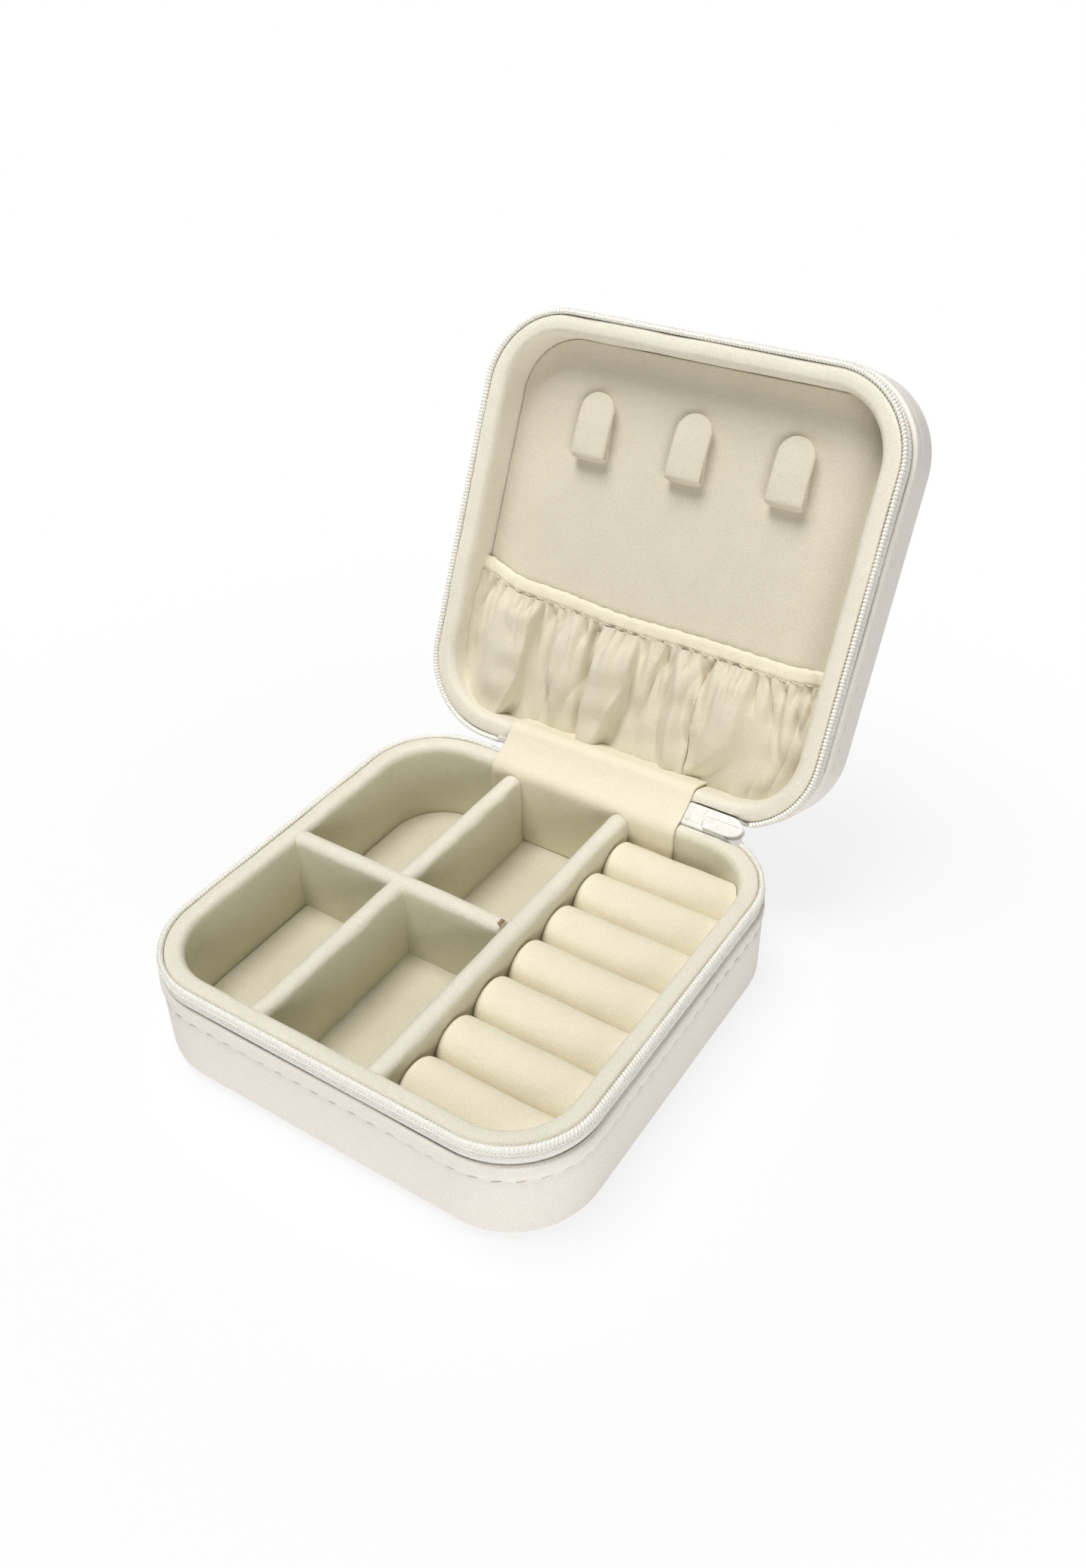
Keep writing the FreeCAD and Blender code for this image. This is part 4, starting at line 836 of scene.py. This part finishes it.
# The pocket's velvet is darkened: painted shade.
pocket = build("gathered_pocket", [(swing(cloth)[None], False, False)], shaded_pocket_velvet)
thick = pocket.modifiers.new("cloth", "SOLIDIFY")
thick.thickness, thick.offset = CLOTH * 0.001, 0.0
fit(pocket, "lid", "velvet", "pocket_cloth")

# Pocket seam: the row of stitches that shuts the hem over its elastic and holds the gathers. They lie aslant
# in the groove of the hem.

HEM_PITCH, HEM_STITCH, HEM_THREAD = 3.1, 2.3, 0.24
x = np.arange(-POCKET_HALF + 1.6, POCKET_HALF - 1.0, HEM_PITCH)
middle = joined(x, HEM_LOW - 0.55 - hem_rise(x), HEM_Z - 0.78)
slope = joined(1.0, np.gradient(-hem_rise(x), x) + STITCH_SLANT, 0.0)
outward = np.broadcast_to([0.0, 0.25, -1.0], middle.shape)
sewn = stitches(middle, unit(slope), unit(outward), HEM_STITCH, HEM_THREAD, 0.12)
pocket_seam = build("pocket_seam", [(swing(sewn), False, True)],
                    thread_finish("cream_thread", (0.78, 0.72, 0.56), (0.55, 0.49, 0.36)))
fit(pocket_seam, "lid", "zip_tape")

# Hinge spine: the strip of cover leather that joins the two shells behind the zip's ends. It folds outside
# the hinge line when the lid stands open.

HINGE_HALF, SPINE_SINK = 24.0, 0.10
along_base = np.linspace(-4.9, -0.6, 8)
bend = np.linspace(0, OPEN_ANGLE, 13)
turn = np.r_[0 * along_base, bend, np.full(8, OPEN_ANGLE)]
back = np.r_[0 * along_base, np.full(13, SPINE_SINK), 0 * along_base]
up = np.r_[along_base, 0 * bend, -1.2 * along_base[::-1]]


def lips(sleeve):
    """Part that closes a flat sleeve at its first and last rings by joining the two sides of each."""
    ends, half = sleeve[[0, -1]], sleeve.shape[1] // 2
    return np.stack([ends[:, :half], ends[:, :half - 1:-1]], axis=2), False, False


outside, inside = (swing(joined(back - sink, up), turn) for sink in (SPINE_SINK, LEATHER))
section = np.r_[outside, inside[::-1]]
near_edge = np.array([HINGE_HALF, HINGE_HALF - 0.15])
x = np.r_[-near_edge, np.linspace(-23, 23, 24), near_edge[::-1]]
spine = joined(x[:, None], section[:, 0], section[:, 1])
leather_spine = build("leather_spine", [hoop(spine), lips(spine)], leather)
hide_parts("hinge_spine")
HALF_ANGLE = OPEN_ANGLE / 2
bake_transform(leather_spine)

# Hinge strap: a velvet strap inside, glued down the back wall of the base, over both rims and into the lid.
# It hides the spine and creases in the valley between the rims.

STRAP, STRAP_WALL, STRAP_BASE_END, STRAP_LID_END = 0.7, -6.15, -19.7, -8.5
RIM_BACK, RIM_UP, RIM_HALF, RIM_HEIGHT, VALLEY = -4.25, -2.0, 1.9, 1.95, 1.6
climb = joined(STRAP_WALL, np.linspace(STRAP_BASE_END, -2.2, 24))
over = np.linspace(math.pi, 0.42 * math.pi, 12)
over = joined(RIM_BACK + RIM_HALF * np.cos(over), RIM_UP + RIM_HEIGHT * np.sin(over))
valley = VALLEY * np.array([-math.cos(HALF_ANGLE), math.sin(HALF_ANGLE)])
share = np.linspace(0, 1, 12)[1:-1, None]
slope = over[-1] + (valley - over[-1]) * share + np.array([-0.04, 0.06]) * np.sin(math.pi * share)
half_line = np.r_[climb, over, slope]
lid_line = half_line[half_line[:, 1] > STRAP_LID_END] * [1, -1]


def even_line(line, count, passes):
    """Line set out again at even steps, each point then drawn towards the middle of its neighbours."""
    walked = np.r_[0.0, np.cumsum(spans(line))]
    spots = np.linspace(0, walked[-1], count)
    line = joined(*(np.interp(spots, walked, values) for values in line.T))
    for _ in range(passes):
        line[1:-1] = (line[:-2] + 2 * line[1:-1] + line[2:]) / 4
    return line


line = np.r_[swing(np.r_[half_line, valley[None]], 0.0), swing(lid_line[::-1])]
line = even_line(line, 96, 12)
normal = beside(line)
share = np.r_[-1.0, -0.995, -0.985, np.linspace(-0.96, 0.96, 60), 0.985, 0.995, 1.0]
edge = dome(np.clip((np.abs(share) - 0.985) / 0.015, 0, 1), least=0.02)
sides = []
for face in (0.5, -0.5):
    points = line + face * STRAP * edge[:, None, None] * normal
    sheet = joined(HINGE_HALF * share[:, None], points[..., 0], points[..., 1])
    soft = swell(sheet * [0.5, 1, 1], 8.0, 81) * smooth(sheet[..., 1], 43.5, 45.0)
    sheet[..., 1:] += 0.02 * soft[..., None] * normal
    sides.append(sheet)
sleeve = np.concatenate([sides[0], sides[1][:, ::-1]], axis=1)
strap = build("velvet_strap", [hoop(sleeve), lips(sleeve)], pile)
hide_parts("hinge_strap")
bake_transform(strap)

# Closed end of the chain: the last turns of the two coils, meshed, from the hinge into the slider, with a low
# bar through them for a stop. It stands half way between base and lid.

CHAIN_Y, CHAIN_Z, CHAIN_FROM, CHAIN_TO = -1.3, 0.72, 24.35, 30.1
CORD_FROM, CORD_HALF, CORD_REACH = 24.1, 0.42, 1.8
STOP_X, STOP_HALF, STOP_REACH = 24.95, 0.55, 1.9
turn = np.arange(0, 2 * math.pi * (CHAIN_TO - CHAIN_FROM) / COIL_PITCH, 2 * math.pi / 14)
strands = []
for side, shift in ((-1, 0.0), (1, 0.5)):
    x = CHAIN_FROM + STRAND + COIL_PITCH * (turn / (2 * math.pi) + shift)
    x = np.minimum(x, CHAIN_TO - STRAND)
    wound = joined(x, CHAIN_Y + 0.34 * np.sin(turn), side * (CHAIN_Z + 0.95 * np.cos(turn)))
    heart = joined(x, CHAIN_Y, side * CHAIN_Z)
    strands.append(hoop(swing(tube(wound, wound - heart, STRAND, 7), HALF_ANGLE)))
fit(build("meshed_coil", strands, nylon), "zip_end", "zip_coil", "zip_chain")
angle = circle(24)
along = np.repeat([CORD_FROM, CHAIN_TO - 0.2], 2)[:, None]
girth = np.array([0, 1, 1, 0])[:, None]
cord = joined(along, CHAIN_Y + CORD_HALF * girth * np.sin(angle), CORD_REACH * girth * np.cos(angle))
fit(build("chain_filler", [hoop(swing(cord, HALF_ANGLE))], coil_thread), "zip_end", "zip_tape")
across = np.linspace(-STOP_REACH, STOP_REACH, 12)[:, None]
wide, tall = oblong(circle(20), 0.4, 0.4)
girth = STOP_HALF * dome(across / STOP_REACH, 8)
bar = joined(STOP_X + girth * wide, CHAIN_Y + girth * tall, across)
bottom_stop = build("stop_bar", [hoop(swing(bar, HALF_ANGLE))], lacquer)
fit(bottom_stop, "zip_end", "bright_metal", "zip_bottom_stop")

# Tape beside the chain: each tape leaves its half of the box, bends round the edge of the slider and runs in
# between its plates to the coil.

LEAD_LINE = joined([2.4, 1.4, 0.4, -0.5, -1.1, -1.3, -1.3], [2.9, 2.87, 2.78, 2.70, 2.45, 2.0, 1.35])
LEAD_FROM, LEAD_TO, LEAD_HALF = 23.6, 37.0, 0.2
x, whole = np.linspace(LEAD_FROM, LEAD_TO, 42)[:, None], np.linspace(0, 1, 40)
share = whole * (1 - 0.7 * smooth(x, LEAD_TO - 4.0, LEAD_TO))
for half, side in (("base", -1), ("lid", 1)):
    line = even_line(LEAD_LINE * [1, side], 40, 2)
    near, far = (joined(x, *(np.interp(share, whole, values) for values in (line + lift * beside(line)).T))
                 for lift in (LEAD_HALF, -LEAD_HALF))
    lead = swing(np.concatenate([near, far[:, ::-1]], axis=1), HALF_ANGLE)
    tape_lead = build(f"{half}_tape_lead", [hoop(lead), lips(lead)], tape_weave)
    if half == "base":
        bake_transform(tape_lead)
    else:
        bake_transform(tape_lead)

# Zip slider: a die-cast body of two plates joined by a post at the nose, with curled edges that hold the
# coils in, and a bridge outside that carries the pull. The inner plate has a thin ridge beside its middle.

SLIDER_LEFT, SLIDER_HALF, SLIDER_STRAIGHT, SLIDER_NOSE = 29.0, 2.25, 5.4, 3.4
BRIDGE_X, BRIDGE_HALF, BRIDGE_RISE, POST_X, RIDGE_Y = 33.4, 2.65, 1.55, 35.8, -2.38


def plate_grid(inner_face, outer_face, ridge):
    """Shield plate: at each place along it a rounded oblong section, as wide as the straight sides or the
    nose leave, its outer face rising to a low crest beside the middle."""
    ahead = np.r_[np.zeros(6), np.sin(np.linspace(0, math.pi / 2, 16))]
    x = SLIDER_LEFT + np.r_[0.0, 0.06, 0.2, 1.0, 2.5, 4.0, SLIDER_STRAIGHT + SLIDER_NOSE * ahead[6:]]
    wide = SLIDER_HALF * dome(ahead, least=0.0002)
    wide[:2] -= [0.16, 0.05]
    angle = circle(40)
    across, thick = oblong(angle, 0.4, 0.16)
    middle, half = (inner_face + outer_face) / 2, (outer_face - inner_face) / 2
    crest = np.where(np.sin(angle) > 0, ridge * (1 - np.abs(across - 0.2) / 1.2), 0.0)
    return closed(joined(x[:, None], middle + half * thick + crest * np.sign(half), wide[:, None] * across))


def bar_grid(line, wide, thick, aside=0.0):
    """Bar of rounded oblong section along a line in the plane of x and y: wide across it, thick in it and set
    aside from it."""
    across, up = oblong(circle(16), 0.4, 0.4)
    flat = line[:, None] + thick / 2 * up[:, None] * beside(line)[:, None]
    return closed(joined(flat[..., 0], flat[..., 1], aside + wide / 2 * across))


across, rise = oblong(np.linspace(math.pi, 0, 25), 0.5, 0.6)
bridge_line = joined(BRIDGE_X + BRIDGE_HALF * across, BRIDGE_RISE * rise - 0.1)
post_line = joined(POST_X, np.linspace(-2.1, -0.4, 6))
ridge_line = joined(np.linspace(SLIDER_LEFT + 0.2, SLIDER_LEFT + 8.0, 12), RIDGE_Y)
slider_parts = [plate_grid(-1.95, -2.32, 0.08), plate_grid(-0.55, 0.0, 0.05), bar_grid(bridge_line, 1.4, 0.7),
                bar_grid(post_line, 2.0, 2.4), bar_grid(ridge_line, 0.3, 0.24, 0.6)]
for face, lip in ((-2.0, -1.64), (-0.5, -0.94)):
    rail = joined(np.linspace(SLIDER_LEFT + 0.3, SLIDER_LEFT + 5.2, 12), (face + lip) / 2)
    for side in (-1, 1):
        slider_parts.append(bar_grid(rail, 0.5, abs(face - lip), side * (SLIDER_HALF - 0.28)))
slider = build("slider_body", [hoop(swing(part, HALF_ANGLE)) for part in slider_parts], lacquer, 40.0)
fit(slider, "zip_slider", "bright_metal", "zip_slider")

# Pull: a stamped metal tab with a round end. Its eye goes round the bridge, and it hangs straight out behind.
# Its rim is found by walking out from the eye's middle until a ray leaves the tab.

PIN_Y, PULL_END, PULL_ROUND, PULL_BEVEL, EYE_HALF = 0.55, 19.55, 2.3, 0.18, np.array([1.62, 0.95])


def plated_finish():
    """Bright plating with faint brushed streaks and a few dull patches."""
    material, tree, shader = finish("bright_plating", 0.2, Metallic=1.0)
    spot = node(tree, "TexCoord")["Object"]
    stretch = node(tree, "Mapping", ("Vector", spot), Scale=(300.0, 4000.0, 4000.0))["Vector"]
    streaks = noise(tree, stretch, 1.0, 3.0)
    patches = noise(tree, spot, 500.0, 2.0)
    rough = node(tree, "MapRange", ("Value", patches), To_min=0.24, To_max=0.42)["Result"]
    tree.links.new(rough, shader.inputs["Roughness"])
    tint(shader, streaks, (0.3, (0.66, 0.64, 0.61)), (0.7, (0.78, 0.76, 0.73)))
    bump(shader, streaks, 0.00001, 0.4)
    return material


plating = plated_finish()
angle = circle(96)
eye_middle = np.array([PIN_Y + 2.0, 0.0])
eye = eye_middle + EYE_HALF * joined(*oblong(angle, 0.6, 0.6))
ray = joined(np.cos(angle), np.sin(angle))
reach = np.linspace(0, 19, 1900)[:, None]
walk_y, walk_z = np.moveaxis(eye_middle + ray[:, None] * reach, -1, 0)
tail = np.clip((walk_y - PULL_END + PULL_ROUND) / PULL_ROUND, 0, 1)
head = np.clip(PIN_Y + 0.6 - walk_y, 0, 1)
half_width = (1.7 + 0.6 * smooth(walk_y, 3.6, 6.0)) * dome(tail) * np.sqrt(1 - 0.6 * head ** 2)
inside = (np.abs(walk_z) <= half_width) & (walk_y <= PULL_END) & (walk_y >= PIN_Y - 0.4)
rim = eye_middle + ray * reach[inside.sum(axis=1) - 1]
rings = []
for loop, towards, level in ((rim, eye, 0.45), (rim, eye, 0.2), (rim, eye, -0.2), (rim, eye, -0.45),
                             (eye, rim, -0.45), (eye, rim, -0.3), (eye, rim, 0.3), (eye, rim, 0.45)):
    flat = loop + unit(towards - loop) * (PULL_BEVEL if abs(level) > 0.4 else 0.0)
    rings.append(joined(BRIDGE_X + level, flat[:, 0], flat[:, 1]))
pull = build("pull_tab", [(swing(np.stack(rings), HALF_ANGLE)[None], True, True)], plating, 40.0)
fit(pull, "zip_pull", "bright_metal", "zip_pull")

# Studio: a white table and an even white surround with two soft lamps, and the camera where the photograph
# was taken from.

TABLE_HALF, TABLE_DROP = 3.0, 0.0003
AIM, LAMP_SIZE, SURROUND = (0.0, 0.0, 0.03), 0.45, 0.02


def seen(tree):
    """1 for a ray that comes from the camera, a reflection or through glass, and 0 for the others."""
    path = node(tree, "LightPath")
    found = path["Is Camera Ray"]
    for name in ("Is Glossy Ray", "Is Transmission Ray"):
        found = node(tree, "Math", (0, found), (1, path[name]), operation="MAXIMUM")["Value"]
    return found


table = add("table", bpy.data.meshes.new("table"))
signs = ((-1, -1), (1, -1), (1, 1), (-1, 1))
table_corners = [(x * TABLE_HALF, y * TABLE_HALF, -TABLE_DROP) for x, y in signs]
table.data.from_pydata(table_corners, [], [(0, 1, 2, 3)])
table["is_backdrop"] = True
white, tree, shader = finish("white_table", 0.9, Base_Color=(0.9, 0.9, 0.9, 1.0))
distance = node(tree, "VectorMath", (0, node(tree, "TexCoord")["Object"]), operation="LENGTH")["Value"]
share = node(tree, "MapRange", ("Value", distance), interpolation_type="SMOOTHSTEP",
             From_min=0.06, From_max=0.22, To_min=0.84, To_max=1.0)["Result"]
part = node(tree, "Math", (0, seen(tree)), (1, share), operation="MULTIPLY")["Value"]
glow = node(tree, "Emission", Strength=1.0)["Emission"]
mixed = node(tree, "MixShader", (0, part), (1, shader.outputs["BSDF"]), (2, glow))["Shader"]
output = next(item for item in tree.nodes if item.type == "OUTPUT_MATERIAL")
tree.links.new(mixed, output.inputs["Surface"])
table.data.materials.append(white)

world = bpy.data.worlds.new("surround")
bpy.context.scene.world = world
world.use_nodes = True
tree = world.node_tree
background = next(item for item in tree.nodes if item.type == "BACKGROUND")
strength = node(tree, "MapRange", ("Value", seen(tree)), To_min=SURROUND, To_max=1.0)["Result"]
background.inputs["Color"].default_value = (1.0, 1.0, 1.0, 1.0)
tree.links.new(strength, background.inputs["Strength"])


def soft_lamp(name, place_at, power):
    """Square soft lamp that faces the box."""
    lamp = bpy.data.lights.new(name, "AREA")
    lamp.size, lamp.energy = LAMP_SIZE, power
    made = add(name, lamp)
    made.location = place_at
    direction = np.array(AIM) - np.array(place_at)
    made.rotation_euler = (math.acos(-direction[2] / np.linalg.norm(direction)), 0.0,
                           math.atan2(direction[1], direction[0]) - math.pi / 2)


soft_lamp("key", (-0.15, -0.06, 0.85), 6.8)
soft_lamp("fill", (0.615, -0.635, 0.15), 3.9)

CAMERA_AT = (0.1273, -0.1648, 0.2123)
AZIMUTH, ELEVATION, ROLL = math.radians(34.48), math.radians(36.88), math.radians(-1.52)
back = np.array([math.sin(AZIMUTH) * math.cos(ELEVATION), -math.cos(AZIMUTH) * math.cos(ELEVATION),
                 math.sin(ELEVATION)])
right = np.array([math.cos(AZIMUTH), math.sin(AZIMUTH), 0.0])
up = np.cross(back, right)
turned_right = math.cos(ROLL) * right + math.sin(ROLL) * up
turned_up = math.cos(ROLL) * up - math.sin(ROLL) * right
lens = bpy.data.cameras.new("camera")
lens.lens, lens.sensor_width, lens.shift_x, lens.shift_y = 31.45, 36.0, 0.0138, -0.0031
lens.clip_start, lens.clip_end = 0.01, 20.0
camera = add("camera", lens)
pose = np.eye(4)
pose[:3, :3] = np.stack([turned_right, turned_up, back], axis=1)
pose[:3, 3] = CAMERA_AT
camera.matrix_world = Matrix(pose.tolist())
bpy.context.scene.camera = camera
bpy.context.scene.view_settings.view_transform = "Standard"

low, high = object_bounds()
